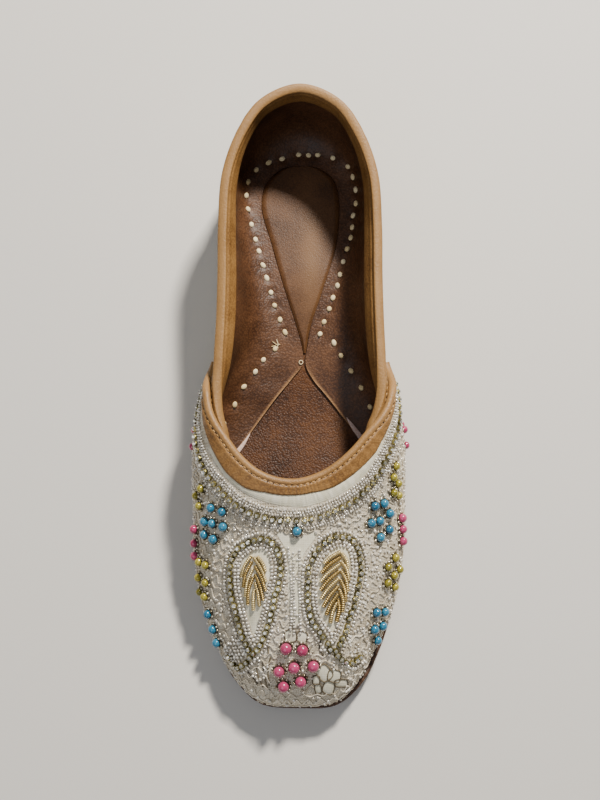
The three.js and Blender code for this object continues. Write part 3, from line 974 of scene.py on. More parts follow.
# %% Where the cotton stitches go, in plan
STITCHES_LEFT = [
    (-13.6, 106.1), (-19, 102.5), (-22.5, 96.6), (-23.2, 90.5), (-22.4, 84.5), (-20.9, 77.7), (-19.1, 71),
    (-17.6, 65.8), (-15.8, 59.6), (-14.2, 54), (-12.4, 47.7), (-10.8, 42.2), (-8.5, 36.2), (-6.4, 30.9),
]
STITCHES_RIGHT = [
    (-7.8, 108), (-0.6, 109.8), (3.7, 109.6), (7.7, 109.7), (14.3, 108), (20.8, 103.5), (22.9, 98.7),
    (24.1, 92.8), (24.1, 86.8), (22.9, 81.6), (22.5, 76.4), (21.8, 71.7), (20.2, 66.9), (18.5, 61.3),
    (17.1, 55.5), (16, 50.7), (14, 45.5), (12.4, 40.8), (10.2, 35.3), (8.5, 30.2),
]
FRONT_LEFT = [(-10.6, 23.7), (-15.5, 18.9), (-18.9, 13.8), (-23.7, 7.4), (-27.5, -0.1), (-32, -8.3)]
FRONT_RIGHT = [(14.4, 26.3), (17.4, 20.8), (21.6, 14.2), (25.8, 7), (29.5, -1.1)]
STITCH_RUNS = [STITCHES_LEFT, STITCHES_RIGHT, FRONT_LEFT, FRONT_RIGHT]
print("cotton stitches:", sum(len(run) for run in STITCH_RUNS))

# %% A flap's section, from the wall to its edge
FLAP_UNDER = 4.6  # the flap's upper edge is caught under the collar binding, this far down
FLAP_WALL_SHARE = 0.46  # and it leaves the wall here
WALL_ROWS, TURN_ROWS = 8, 46
FLAP_LIFT = 0.12
FLAP_DEPTH = -UPPER_WALL - FLAP_LIFT - FLAP_THICKNESS
FALL, CREEP, CREEP_LENGTH = 0.75, 0.62, 14  # how steeply it leaves the wall, and how long it lies flat


def wall_run(u):
    """The flap's upper face where it lies flat on the wall, from under the binding down."""
    caught = np.maximum(share_below(u, upper_drop(u) + FLAP_UNDER), FLAP_WALL_SHARE + 0.02)[:, None]
    down = np.arange(WALL_ROWS)[None, :] / WALL_ROWS
    across = np.repeat(u[:, None], WALL_ROWS, axis=1)
    return surface(across, caught + (FLAP_WALL_SHARE - caught) * down, FLAP_DEPTH)


def section_curve(u, share):
    """The flap's upper face: from the wall, down and in, to its edge on the insole."""
    u = u[:, None]
    top = np.full_like(u, FLAP_WALL_SHARE)
    start = surface(u, top, FLAP_DEPTH)
    down = -climb(u, top)
    end = flap_edge(u)
    end[..., 2] = insole_top(end[..., 1]) + FLAP_LIFT + FLAP_THICKNESS
    inward = end - start
    inward[..., 2] = 0
    reach = np.linalg.norm(inward, axis=-1, keepdims=True)
    drop = (start - end)[..., 2:]
    first = start + down * drop * FALL
    second = end - inward * np.minimum(CREEP, CREEP_LENGTH / reach)
    s = share[None, :, None]
    return (1 - s) ** 3 * start + 3 * (1 - s) ** 2 * s * first + 3 * (1 - s) * s**2 * second + s**3 * end


flap_u = through_heel(FLAP_END, 18)
turn = np.linspace(0, 1, TURN_ROWS)
upper_face = np.concatenate([wall_run(flap_u), section_curve(flap_u, turn)], axis=1)
turn = np.concatenate([np.zeros(WALL_ROWS), turn])
print("points across a flap:", upper_face.shape[1])

# %% Dimples under the stitches, and one slack bulge in front
DIMPLE_RADIUS, DIMPLE_DEPTH = 1.9, 0.6
BULGE_X, BULGE_Y, BULGE_RADIUS, BULGE_RISE = -15.0, 5.0, 6.0, 0.9
EDGE_THIN, EDGE_THIN_FROM = 0.5, 0.93
away = np.cross(np.gradient(upper_face, axis=1), np.gradient(upper_face, axis=0))
away /= np.linalg.norm(away, axis=-1, keepdims=True)
away *= np.sign(away[..., 2].mean())


def push_face(x, y, radius, rise):
    """Moves the upper face along its normals round a plan point."""
    near = np.hypot(upper_face[..., 0] - x, upper_face[..., 1] - y)
    return away * (rise * np.exp(-(near / radius) ** 2))[..., None]


for run in STITCH_RUNS:
    for x, y in run:
        upper_face -= push_face(x, y, DIMPLE_RADIUS, DIMPLE_DEPTH)
upper_face += push_face(BULGE_X, BULGE_Y, BULGE_RADIUS, BULGE_RISE)
thickness = FLAP_THICKNESS * (1 - EDGE_THIN * smoothstep(turn, EDGE_THIN_FROM, 1))[None, :, None]
edge_wear = smoothstep(turn, 0.955, 1.0) * smoothstep(station_at(flap_u), 6.8, 7.6)[:, None]
flaps = sheet_piece("lining_flaps", upper_face, upper_face - away * thickness, lining_leather,
                    marks={"wear_and_sheen": edge_wear})

# %% The heel pad
PAD_GAP, PAD_RISE, PAD_TIP = 0.3, 1.1, 6.75
PAD_SECTIONS, PAD_ACROSS = 90, 30
PAD_FLOAT = 0.1
RUB_X, RUB_Y, RUB_ACROSS, RUB_ALONG, RUB = 5, 62, 5, 22, 0.6  # a pale streak where the heel slides


def pad_faces():
    """The pad's upper and lower faces, between the edges of the flaps."""
    upper = []
    lower = []
    for station in np.linspace(0.04, PAD_TIP, PAD_SECTIONS):
        right, left = flap_edge(u_of(station)), flap_edge(u_of(station, -1))
        span = right - left
        width = np.linalg.norm(span)
        pull = span / width * min(PAD_GAP, width * 0.3)
        share = np.linspace(0, 1, PAD_ACROSS)[:, None]
        row = left + pull + (span - 2 * pull) * share
        from_edge = np.minimum(share[:, 0], 1 - share[:, 0]) * width
        back = np.interp(station, (0, 0.5), (0.25, 1))
        crown = PAD_RISE * (0.35 + 0.65 * smoothstep(from_edge, -0.2, 1.4) * back)
        base = insole_top(row[:, 1])
        upper.append(np.column_stack([row[:, :2], base + crown]))
        lower.append(np.column_stack([row[:, :2], base + PAD_FLOAT]))
    return np.array(upper), np.array(lower)


pad_upper, pad_lower = pad_faces()
from_rub = ((pad_upper[..., 0] - RUB_X) / RUB_ACROSS) ** 2 + ((pad_upper[..., 1] - RUB_Y) / RUB_ALONG) ** 2
sheet_piece("heel_pad", pad_upper, pad_lower, pad_leather, marks={"wear_and_sheen": RUB * np.exp(-from_rub)})

# %% [markdown]
# ## Setting small things
# Stitches, beads, stones and pearls are all one idea: a small shape, set many times, each turned to lie
# on the surface and along its row. That is what Geometry Nodes' Instance on Points does. We give it a
# mesh of bare points that carry a normal, a direction and a size, and it ends in Realize Instances and
# Set Material, so the result is a plain mesh like any other piece.

# %% Node group parts that every setting shares
ONE_MM = 1.0 * MM


def new_group(name, **sizes):
    """An empty geometry node group with named number inputs."""
    tree = bpy.data.node_groups.new(name, "GeometryNodeTree")
    tree.interface.new_socket("Points", in_out="INPUT", socket_type="NodeSocketGeometry")
    for label, value in sizes.items():
        kind = "NodeSocketInt" if isinstance(value, int) else "NodeSocketFloat"
        tree.interface.new_socket(label, in_out="INPUT", socket_type=kind).default_value = value
    tree.interface.new_socket("Finish", in_out="INPUT", socket_type="NodeSocketMaterial")
    tree.interface.new_socket("Piece", in_out="OUTPUT", socket_type="NodeSocketGeometry")
    return tree, node(tree, "NodeGroupInput").outputs


def set_on_points(tree, given, shape, smooth=True):
    """Instances of the shape on the points, turned, sized, tinted, realized and finished."""
    facing, along, size = (
        node(tree, "GeometryNodeInputNamedAttribute", {0: label}, data_type="FLOAT_VECTOR").outputs[0]
        for label in ("facing", "along", "size"))
    upright = node(tree, "FunctionNodeAlignRotationToVector", {2: facing}, axis="Z")
    turned = node(tree, "FunctionNodeAlignRotationToVector", {0: upright.outputs[0], 2: along},
                  axis="X", pivot_axis="Z")
    placed_shape = node(tree, "GeometryNodeInstanceOnPoints", {
        "Points": given["Points"], "Instance": shape, "Rotation": turned.outputs[0], "Scale": size})
    tone = node(tree, "FunctionNodeRandomValue", {2: 0.0, 3: 1.0, "Seed": given["Seed"]}, data_type="FLOAT")
    tinted = node(tree, "GeometryNodeStoreNamedAttribute", {
        "Geometry": placed_shape.outputs[0], "Name": "tint", "Value": tone.outputs[1]},
        data_type="FLOAT", domain="INSTANCE")
    real = node(tree, "GeometryNodeRealizeInstances", {0: tinted.outputs[0]})
    shaded = node(tree, "GeometryNodeSetShadeSmooth", {0: real.outputs[0], 2: smooth})
    done = node(tree, "GeometryNodeSetMaterial", {0: shaded.outputs[0], 2: given["Finish"]})
    node(tree, "NodeGroupOutput", {0: done.outputs[0]})
    return tree


# %% Beads, one millimetre across, to be sized where they are set
def round_bead_group():
    """A ball: pearls, shot, seed beads and, drawn out long, stitches."""
    tree, given = new_group("set_round_beads", Segments=8, Rings=6, Seed=1)
    ball = node(tree, "GeometryNodeMeshUVSphere", {
        "Segments": given["Segments"], "Rings": given["Rings"], "Radius": ONE_MM / 2})
    return set_on_points(tree, given, ball.outputs[0])


ROUND_BEADS = round_bead_group()
print("bead group inputs:", [item.name for item in ROUND_BEADS.interface.items_tree])

# %% Cut stones and their cups, one millimetre across
def cut_stone_group():
    """A stone's crown: an eight-sided slope up to a flat table."""
    tree, given = new_group("set_cut_stones", Sides=8, Table=0.5, Seed=2)
    table = node(tree, "ShaderNodeMath", {0: given["Table"], 1: ONE_MM / 2}, operation="MULTIPLY")
    crown = node(tree, "GeometryNodeMeshCone", {
        "Vertices": given["Sides"], "Radius Top": table.outputs[0], "Radius Bottom": ONE_MM / 2,
        "Depth": ONE_MM * 0.4})
    return set_on_points(tree, given, crown.outputs[0], smooth=False)


def stone_cup_group():
    """The cup under a stone: a short brass drum with four claws."""
    tree, given = new_group("set_stone_cups", Sides=10, Claw=0.24, Seed=3)
    drum = node(tree, "GeometryNodeMeshCone", {
        "Vertices": given["Sides"], "Radius Top": ONE_MM * 0.46, "Radius Bottom": ONE_MM / 2,
        "Depth": ONE_MM * 0.4})
    corner = node(tree, "GeometryNodeMeshCircle", {"Vertices": 4, "Radius": ONE_MM * 0.42})
    lifted = node(tree, "GeometryNodeTransform", {0: corner.outputs[0], "Translation": (0, 0, ONE_MM * 0.46)})
    claw = node(tree, "GeometryNodeMeshIcoSphere", {"Radius": ONE_MM / 2, "Subdivisions": 1})
    claws = node(tree, "GeometryNodeInstanceOnPoints", {
        "Points": lifted.outputs[0], "Instance": claw.outputs[0], "Scale": given["Claw"]})
    both = node(tree, "GeometryNodeJoinGeometry")
    tree.links.new(drum.outputs[0], both.inputs[0])
    tree.links.new(claws.outputs[0], both.inputs[0])
    return set_on_points(tree, given, both.outputs[0], smooth=False)


CUT_STONES = cut_stone_group()
STONE_CUPS = stone_cup_group()

# %% Ribbed cord
def ribbed_cord_group():
    """A round cord along a line of edges, ribbed like wound wire or twisted thread."""
    tree, given = new_group("lay_ribbed_cords", Radius=0.5, Pitch=0.8, Rib=0.15, Step=0.25, Sides=7,
                            Seed=4)
    metres = {label: node(tree, "ShaderNodeMath", {0: given[label], 1: MM}, operation="MULTIPLY").outputs[0]
              for label in ("Radius", "Pitch", "Step")}
    line = node(tree, "GeometryNodeMeshToCurve", {0: given["Points"]})
    even = node(tree, "GeometryNodeResampleCurve", {0: line.outputs[0], "Length": metres["Step"]},
                mode="LENGTH")
    along = node(tree, "GeometryNodeSplineParameter")
    turns = node(tree, "ShaderNodeMath", {0: along.outputs["Length"], 1: metres["Pitch"]},
                 operation="DIVIDE")
    phase = node(tree, "ShaderNodeMath", {0: turns.outputs[0], 1: 2 * math.pi}, operation="MULTIPLY")
    wave = node(tree, "ShaderNodeMath", {0: phase.outputs[0]}, operation="SINE")
    swell = node(tree, "ShaderNodeMath", {0: wave.outputs[0], 1: given["Rib"], 2: 1.0},
                 operation="MULTIPLY_ADD")
    girth = node(tree, "ShaderNodeMath", {0: swell.outputs[0], 1: metres["Radius"]}, operation="MULTIPLY")
    ringed = node(tree, "GeometryNodeCurvePrimitiveCircle", {"Resolution": given["Sides"], "Radius": 1.0})
    tube = node(tree, "GeometryNodeCurveToMesh", {
        0: even.outputs[0], 1: ringed.outputs[0], "Scale": girth.outputs[0], "Fill Caps": True})
    number = node(tree, "GeometryNodeInputMeshIsland")
    tone = node(tree, "FunctionNodeRandomValue", {2: 0.0, 3: 1.0, "ID": number.outputs["Island Index"],
                                                  "Seed": given["Seed"]}, data_type="FLOAT")
    tinted = node(tree, "GeometryNodeStoreNamedAttribute", {0: tube.outputs[0], "Name": "tint",
                                                            "Value": tone.outputs[1]}, data_type="FLOAT")
    real = node(tree, "GeometryNodeRealizeInstances", {0: tinted.outputs[0]})
    done = node(tree, "GeometryNodeSetMaterial", {0: real.outputs[0], 2: given["Finish"]})
    node(tree, "NodeGroupOutput", {0: done.outputs[0]})
    return tree


RIBBED_CORDS = ribbed_cord_group()
print("node groups:", [tree.name for tree in bpy.data.node_groups])

# %% From points to a plain mesh
def grown(name, mesh, tree, finish, **sizes):
    """Runs a node group on a mesh and keeps the result as a plain mesh with no modifier."""
    seed_object = bpy.data.objects.new(name + "_points", mesh)
    bpy.context.scene.collection.objects.link(seed_object)
    modifier = seed_object.modifiers.new("grow", "NODES")
    modifier.node_group = tree
    for item in tree.interface.items_tree:
        if item.name in sizes:
            modifier[item.identifier] = sizes[item.name]
        elif item.name == "Finish":
            modifier[item.identifier] = finish
    graph = bpy.context.evaluated_depsgraph_get()
    plain = bpy.data.meshes.new_from_object(seed_object.evaluated_get(graph))
    bpy.data.objects.remove(seed_object)
    plain.name = name
    piece = bpy.data.objects.new(name, plain)
    bpy.context.scene.collection.objects.link(piece)
    print(name, "faces:", len(plain.polygons))
    return piece


def set_pieces(name, rows, tree, finish, **sizes):
    """Sets a shape on rows of (place, facing, along, size), sizes in millimetres."""
    places, facing, along, size = (np.array(column, float) for column in zip(*rows))
    mesh = bpy.data.meshes.new(name + "_points")
    mesh.from_pydata(placed(places).tolist(), [], [])
    for label, values in (("facing", facing), ("along", along), ("size", size)):
        attribute = mesh.attributes.new(label, "FLOAT_VECTOR", "POINT")
        attribute.data.foreach_set("vector", values.astype(np.float32).ravel())
    return grown(name, mesh, tree, finish, **sizes)


# %% From lines to cords
def lay_cords(name, lines, finish, **sizes):
    """Lays ribbed cords along lists of design points."""
    points = [point for line in lines for point in line]
    edges = []
    start = 0
    for line in lines:
        edges += [(start + k, start + k + 1) for k in range(len(line) - 1)]
        start += len(line)
    mesh = bpy.data.meshes.new(name + "_lines")
    mesh.from_pydata(placed(points).tolist(), edges, [])
    return grown(name, mesh, RIBBED_CORDS, finish, **sizes)


# %% [markdown]
# ### Finding places on a surface
# A needle comes up where the pattern is drawn on the cloth. We do the same: draw a place in plan, drop it
# straight down on the finished piece, and take the normal there. Where the cloth stands upright a plan
# point is no use, so a second way takes the nearest place on the surface instead.

# %% Finding places
DROP_FROM = 200


class Ground:
    """The upper faces of a piece, to drop plan points on and to lay lines along. All in millimetres."""

    def __init__(self, piece):
        points = np.array([v.co for v in piece.data.vertices], float) / MM - SHIFT
        self.tree = BVHTree.FromPolygons(points.tolist(), [tuple(p.vertices) for p in piece.data.polygons])

    def under(self, x, y):
        """Where a plan point lands, and the surface's normal there, or None."""
        place, facing, _, _ = self.tree.ray_cast(Vector((x, y, DROP_FROM)), Vector((0, 0, -1)))
        return (np.array(place), np.array(facing)) if place else None

    def line_under(self, plan):
        """The places where plan points land. A point beside the piece is left out."""
        landed = [self.under(point[0], point[1]) for point in plan]
        return np.array([spot[0] for spot in landed if spot])

    def nearest(self, point):
        place, facing, _, _ = self.tree.find_nearest(Vector(point))
        return np.array(place), np.array(facing)


front_ground = Ground(front)
inside_ground = Ground(flaps)
print("test drop on the front, mm:", front_ground.under(0, -80)[0].round(1))

# %% Even spacing along a line
LOOK_AHEAD = 0.3


def evenly(line, pitch, closed=False):
    """Points along a line at even spacing, and the direction at each."""
    line = np.array(line, float)
    if closed:
        line = np.vstack([line, line[:1]])
    length = np.concatenate([[0], np.cumsum(np.linalg.norm(np.diff(line, axis=0), axis=1))])
    count = max(2, int(round(length[-1] / pitch)))
    stops = (np.arange(count) + (0 if closed else 0.5)) * length[-1] / count
    ahead = np.minimum(stops + LOOK_AHEAD, length[-1])
    behind = np.maximum(stops - LOOK_AHEAD, 0)
    at = [np.stack([np.interp(s, length, line[:, k]) for k in range(line.shape[1])], -1)
          for s in (stops, ahead, behind)]
    return at[0], at[1] - at[2]


print("beads on a 10 mm line at 3 mm:", len(evenly([(0, 0, 0), (10, 0, 0)], 3)[0]))

# %% [markdown]
# ### The cotton stitches
# Each stitch comes up through the flap, lies for two millimetres and goes down again, so it is a plump
# little loaf in a dimple, with a dark needle hole at its end.

# %% Cotton stitches and needle holes
rng = np.random.default_rng(7)
STITCH_SHORT, STITCH_LONG, STITCH_WIDE, STITCH_HIGH = 2.3, 3.0, 2.1, 1.4
STITCH_SKEW = 0.4
STITCH_RISE, HOLE_AHEAD, HOLE_RISE = 0.3, 1.7, 0.02
HOLE_SIZE = (1.1, 0.9, 0.25)
cotton = []
holes = []
for run in STITCH_RUNS:
    line = np.array(run, float)
    heading = np.gradient(line, axis=0)
    for (x, y), (dx, dy) in zip(line, heading):
        place, facing = inside_ground.under(x, y)
        skew = rng.uniform(-STITCH_SKEW, STITCH_SKEW)
        along = np.array([dx * math.cos(skew) - dy * math.sin(skew),
                          dx * math.sin(skew) + dy * math.cos(skew), 0])
        along /= np.linalg.norm(along)
        size = (rng.uniform(STITCH_SHORT, STITCH_LONG), STITCH_WIDE, STITCH_HIGH)
        cotton.append((place + facing * STITCH_RISE, facing, along, size))
        holes.append((place + along * HOLE_AHEAD + facing * HOLE_RISE, facing, along, HOLE_SIZE))
# The inside of a needle hole: no light comes back from it.
needle_dark = beadlike("needle_hole_shadow", "#1E120A", "#2A1A0E", Roughness=0.9)
set_pieces("cotton_stitches", cotton, ROUND_BEADS, white_cotton, Segments=12, Rings=8)
set_pieces("needle_holes", holes, ROUND_BEADS, needle_dark, Segments=8, Rings=4)

# %% [markdown]
# ### The stitches along the bindings
# A running stitch shows as a short thread and a gap with a needle hole in it. An array modifier could
# not follow a fold that changes its curve, so each stitch is set on the binding's own surface.

# %% Stitches along the bindings
BINDING_PITCH = 2.4
THREAD_SIZE, NEEDLE_SIZE = (1.5, 0.6, 0.45), (0.8, 0.55, 0.2)
THREAD_RISE = 0.05


def seam_on_binding(name, u, edge, drop, depth, span):
    line = near_collar(u, edge + drop, depth)
    places, heads = evenly(line, BINDING_PITCH)
    ground = Ground(span)
    stitches = []
    dark = []
    for place, head in zip(places, heads):
        spot, facing = ground.nearest(place)
        head = head / np.linalg.norm(head)
        stitches.append((spot + facing * THREAD_RISE, facing, head, THREAD_SIZE))
        dark.append((spot + head * BINDING_PITCH / 2, facing, head, NEEDLE_SIZE))
    set_pieces(name + "_holes", dark, ROUND_BEADS, needle_dark, Segments=6, Rings=4)
    set_pieces(name, stitches, ROUND_BEADS, brown_thread, Segments=8, Rings=6)


seam_u = through_toe(VAMP_REAR + 0.1)
seam_edge = vamp_drop(seam_u)
seam_t = share_below(seam_u, seam_edge + THROAT_SEAM)
seam_on_binding("throat_binding_stitches", seam_u, seam_edge, THROAT_SEAM,
                vamp_depth(seam_u, seam_t) + VAMP_WALL + BINDING + FOLD_GAP, throat_binding)
ring_u = through_heel(COLLAR_BINDING_END - 0.4)
seam_on_binding("collar_binding_stitches", ring_u, upper_drop(ring_u), COLLAR_SEAM,
                np.full_like(ring_u, BINDING + FOLD_GAP + COLLAR_SWELL), collar_binding)

# %% [markdown]
# ## The embroidery
# The front is worked in an order: the satin border and filled shapes first, then the rows of stones and
# seed beads that outline everything, then the bullion leaves and the pearl flowers, and last the silver
# cord that wanders over whatever cloth is left. We keep the same order. Every row is a line, either at
# a drop below the collar or drawn in plan and dropped on the cloth, and everything set is remembered,
# so that the wandering cord can keep clear of it.

# %% Where things have been set
WING_START = 7.6
taken = []  # (place, clearance in mm)


def keep_clear(places, clearance):
    taken.extend((np.asarray(place), clearance) for place in places)


def round_the_front(stations, drops):
    """A line along the front at a drop that changes from station to station, right wing to left wing."""
    u = np.linspace(u_of(WING_START), u_of(WING_START, -1), 700)
    return on_front(u, share_below(u, np.interp(u * 2 * HALF, stations, drops)))


def in_plan(outline, count=240):
    """A smooth open line through plan points, dropped on the front."""
    curve = through([(x, y, 0) for x, y in outline])
    return front_ground.line_under(curve(np.linspace(0, 1, count)))


print("points of a test line:", len(in_plan([(-5, -90), (5, -90)], 8)))

# %% Seed beads in rows
SEED, FINE_SEED = 1.45, 1.15
SEED_LIFT, SEED_LENGTH, SEED_CLEAR = 0.36, 0.82, 0.8
SEED_WOBBLE, SEED_LEAST, SEED_MOST = 0.12, 0.86, 1.1
seed_rows = {"border_seed_beads": [], "paisley_seed_beads": [], "scattered_seed_beads": []}


def row_of_beads(line, group, size=SEED, closed=False):
    places, heads = evenly(line, size * 0.98, closed)
    for place, head in zip(places, heads):
        spot, facing = front_ground.nearest(place + rng.normal(0, SEED_WOBBLE, 3))
        grow = size * rng.uniform(SEED_LEAST, SEED_MOST)
        shape = (grow * SEED_LENGTH, grow, grow)
        seed_rows[group].append((spot + facing * grow * SEED_LIFT, facing, head, shape))
    keep_clear(places[::2], SEED_CLEAR)


# %% Stones in rows
STONE, STONE_PITCH, STONE_CLEAR = 2.4, 3.1, 1.6
STONE_WOBBLE, STONE_TILT, STONE_LEAST, STONE_MOST = 0.15, 0.1, 0.92, 1.06
stone_rows = []


def row_of_stones(line, pitch=STONE_PITCH, closed=False):
    places, heads = evenly(line, pitch, closed)
    for place, head in zip(places, heads):
        spot, facing = front_ground.nearest(place + rng.normal(0, STONE_WOBBLE, 3))
        tilt = facing + rng.normal(0, STONE_TILT, 3)
        size = STONE * rng.uniform(STONE_LEAST, STONE_MOST)
        stone_rows.append((spot, tilt / np.linalg.norm(tilt), head, size))
    keep_clear(places, STONE_CLEAR)


# %% [markdown]
# ### The throat border
# A row of stones follows the throat at an uneven distance, because it was drawn on by hand, with rows of
# fine seed beads on both sides of it. Between them and the binding a strip of satin is left bare. One
# table gives, place by place round the front, how far below the collar the satin ends and the stones lie.

# %% The throat border
BORDER_COLUMNS = ("place", "satin", "stones")
BORDER = [dict(zip(BORDER_COLUMNS, row)) for row in (
    (7.6, 3.4, 9.5), (8.4, 3.8, 9.8), (9.2, 5.2, 10.1), (9.9, 7.1, 11.2), (10.4, 7.9, 12.3),
    (11.2, 9.2, 14.2), (12, 9.7, 14.7), (14, 9.4, 14.9), (16, 9.5, 15), (17.4, 8.9, 14.8),
    (19, 8.6, 15.1), (20, 8.7, 15.0), (20.9, 8.6, 14.2), (21.6, 7.9, 14.4), (22.3, 6.9, 13.8),
    (23, 5.4, 12.4), (24.4, 3.4, 11.6),
)]
border_places = [row["place"] for row in BORDER]
satin_drops = np.array([row["satin"] for row in BORDER])
stone_drops = np.array([row["stones"] for row in BORDER])
SEED_ROW_OFFSETS = (-4.2, -3.1, -2.0, 2.1, 3.2)
row_of_stones(round_the_front(border_places, stone_drops))
for offset in SEED_ROW_OFFSETS:
    row_of_beads(round_the_front(border_places, stone_drops + offset), "border_seed_beads", FINE_SEED)
print("border stones:", len(stone_rows))

# %% The satin strip inside the border
STRIP_START, STRIP_SECTIONS, STRIP_ACROSS = 9.9, 300, 14
STRIP_RISE, STRIP_RIPPLE, STRIP_BASE = 0.45, 0.07, -0.2
STRIP_OVER, STRIP_UNDER = 0.2, 0.9  # it ends this far past the beads, and this far under the binding
FLAT_LENGTH = 400  # the strip's cut length, all round, for its weave
strip_u = np.linspace(u_of(STRIP_START), u_of(STRIP_START, -1), STRIP_SECTIONS)[:, None]
strip_place = strip_u[:, 0] * 2 * HALF
strip_low = np.interp(strip_place, border_places, satin_drops)[:, None] + STRIP_OVER
strip_leg = np.interp(strip_place, THROAT_LEG_PLACES, THROAT_LEG)[:, None]
strip_high = vamp_drop(strip_u) + strip_leg - STRIP_UNDER
across = np.linspace(0, 1, STRIP_ACROSS)[None]
strip_drop = strip_low + (strip_high - strip_low) * across
strip_shares = share_below(strip_u, strip_drop)
puff = STRIP_RISE * np.sin(math.pi * np.clip(across, 0.04, 0.96)) ** 0.6
ripple = STRIP_RIPPLE * np.sin(strip_u * 2 * HALF * 9 + 2 * np.sin(strip_u * 180))
strip_top = on_front(strip_u, strip_shares, puff + ripple * np.sin(math.pi * across))
strip_flat = np.stack([strip_drop, np.broadcast_to(strip_u * FLAT_LENGTH, strip_drop.shape)], -1)
sheet_piece("border_satin", strip_top, on_front(strip_u, strip_shares, STRIP_BASE), cream_satin, strip_flat)

# %% [markdown]
# ### The paisleys
# A paisley is one closed outline. Its stones run on it, and the seed rows are the same outline moved
# out or in along its own normal. Where the outline is tight a moved copy would cross itself, so we drop
# the points that have come too close to the original.

# %% Paisley outlines
PAISLEY_LEFT = [
    (-12.8, -59.4), (-10.6, -61), (-8.7, -64), (-7.7, -67.4), (-7.4, -70.8), (-7.7, -74.2), (-8.5, -77.6),
    (-9.6, -81.4), (-10.9, -87), (-12.4, -91.8), (-13.8, -96), (-15.8, -100.4), (-18.4, -103.2),
    (-20.4, -100.6), (-22.4, -97), (-23.6, -93.4), (-24.8, -89), (-25.9, -84.6), (-26.9, -80.4),
    (-27.5, -76), (-27.6, -71.4), (-26.8, -67), (-24.6, -63), (-21, -60.6), (-16.6, -59),
]
PAISLEY_RIGHT = [
    (13.7, -58.4), (9.8, -60.6), (7.1, -63.1), (5.2, -66.2), (3.9, -69.4), (3.2, -73), (3, -77.3),
    (3, -81.5), (3.4, -85.3), (4.3, -89), (6.2, -92.8), (8.5, -96.2), (11, -99.8), (13.4, -102.2),
    (15.8, -98.2), (18, -93.2), (19.8, -88), (21.4, -83.2), (22.7, -78.1), (23.7, -73.6), (24, -69),
    (23.4, -64.6), (21.8, -61), (18.6, -58.4),
]
TAIL_LEFT = [(-18.4, -103.2), (-21, -106.2), (-24.4, -108.4), (-27, -106), (-28.6, -103)]
TAIL_RIGHT = [(13.4, -102.2), (16, -105), (19.6, -106.8), (22.4, -105.4), (24.6, -103)]


# %% A paisley's rows
OUTLINE_POINTS = 260
PAISLEY_PITCH = 2.65
PAISLEY_SEEDS = (2.1, -2.0, -3.4)
TAIL_SEEDS = (1.2, -1.9)


def moved(outline, distance):
    """The closed outline moved out by a distance, without the points that come too close to it."""
    curve = through([(x, y, 0) for x, y in outline], closed=True)
    share = np.arange(OUTLINE_POINTS) / OUTLINE_POINTS
    line = curve(share)
    out = outward(curve, share)
    if ((line - line.mean(0)) * out).sum(-1).mean() < 0:
        out = -out
    shifted = line + out * distance
    gap = np.linalg.norm(shifted[:, None, :2] - line[None, :, :2], axis=2).min(1)
    return shifted[gap >= abs(distance) * 0.94][:, :2]


for outline, tail in ((PAISLEY_LEFT, TAIL_LEFT), (PAISLEY_RIGHT, TAIL_RIGHT)):
    row_of_stones(front_ground.line_under(moved(outline, 0.0)), PAISLEY_PITCH, closed=True)
    for distance in PAISLEY_SEEDS:
        row_of_beads(front_ground.line_under(moved(outline, distance)), "paisley_seed_beads", closed=True)
    row_of_stones(in_plan(tail)[8:], PAISLEY_PITCH)
    row_of_beads(in_plan([(x + TAIL_SEEDS[0], y + TAIL_SEEDS[1]) for x, y in tail])[6:], "paisley_seed_beads")
    print("stones so far:", len(stone_rows))

# %% Rows of seed beads between the paisleys
BETWEEN_COLUMNS = ("topX", "lowX", "sway", "topY")
BETWEEN = [dict(zip(BETWEEN_COLUMNS, row)) for row in (
    (-4.6, -3.4, 0.5, -62), (-2.9, -2.2, 0.2, -64), (-0.2, 0.1, -0.2, -63),
)]
BETWEEN_SEED = 1.3
LOW_Y, END_Y = -88, -96
for row in BETWEEN:
    top_x, low_x, sway, top_y = (row[column] for column in BETWEEN_COLUMNS)
    run = [(top_x, top_y), ((top_x + low_x) / 2 + sway, top_y - 12), (low_x, LOW_Y), (low_x - sway, END_Y)]
    row_of_beads(in_plan(run), "paisley_seed_beads", BETWEEN_SEED)
print("seed beads round the paisleys:", len(seed_rows["paisley_seed_beads"]))

# %% [markdown]
# ### Satin fillings
# Inside each paisley, under the centre pearl and on the toe, satin is laid over card and couched down,
# so it stands up in small soft pillows with a dark line round each.

# %% Padded satin shapes
RIM_SINK = 0.25


def pillow_points(outline, rise, rings, count, ground, lift):
    """Rings of points from the rim to the crown of a low cushion, then its base rim."""
    curve = through([(x, y, 0) for x, y in outline], closed=True)
    rim = curve(np.arange(count) / count)[:, :2]
    middle = rim.mean(0)
    points = []
    flat = []
    for ring in range(rings + 1):
        share = ring / rings
        for x, y in rim + (middle - rim) * share if ring < rings else [middle]:
            spot, facing = ground.under(x, y)
            points.append(spot + facing * (rise * math.sin(math.pi / 2 * share) ** 0.5 + lift))
            flat.append((x, y))
    for x, y in rim:
        spot, facing = ground.under(x, y)
        points.append(spot - facing * RIM_SINK)
        flat.append((x, y))
    return points, flat


def pillow(name, outline, rise, finish, rings=7, count=64, ground=front_ground, lift=0.02):
    """A low cushion over a closed plan outline, following the ground."""
    points, flat = pillow_points(outline, rise, rings, count, ground, lift)
    tip = rings * count
    base = tip + 1
    faces = []
    for k in range(count):
        nxt = (k + 1) % count
        for start in range(0, tip - count, count):
            faces.append((start + k, start + nxt, start + nxt + count, start + k + count))
        faces.append((tip - count + k, tip - count + nxt, tip))
        faces.append((base + k, base + nxt, nxt, k))
    faces.append(tuple(range(base + count - 1, base - 1, -1)))
    return make_piece(name, points, faces, finish, flat)


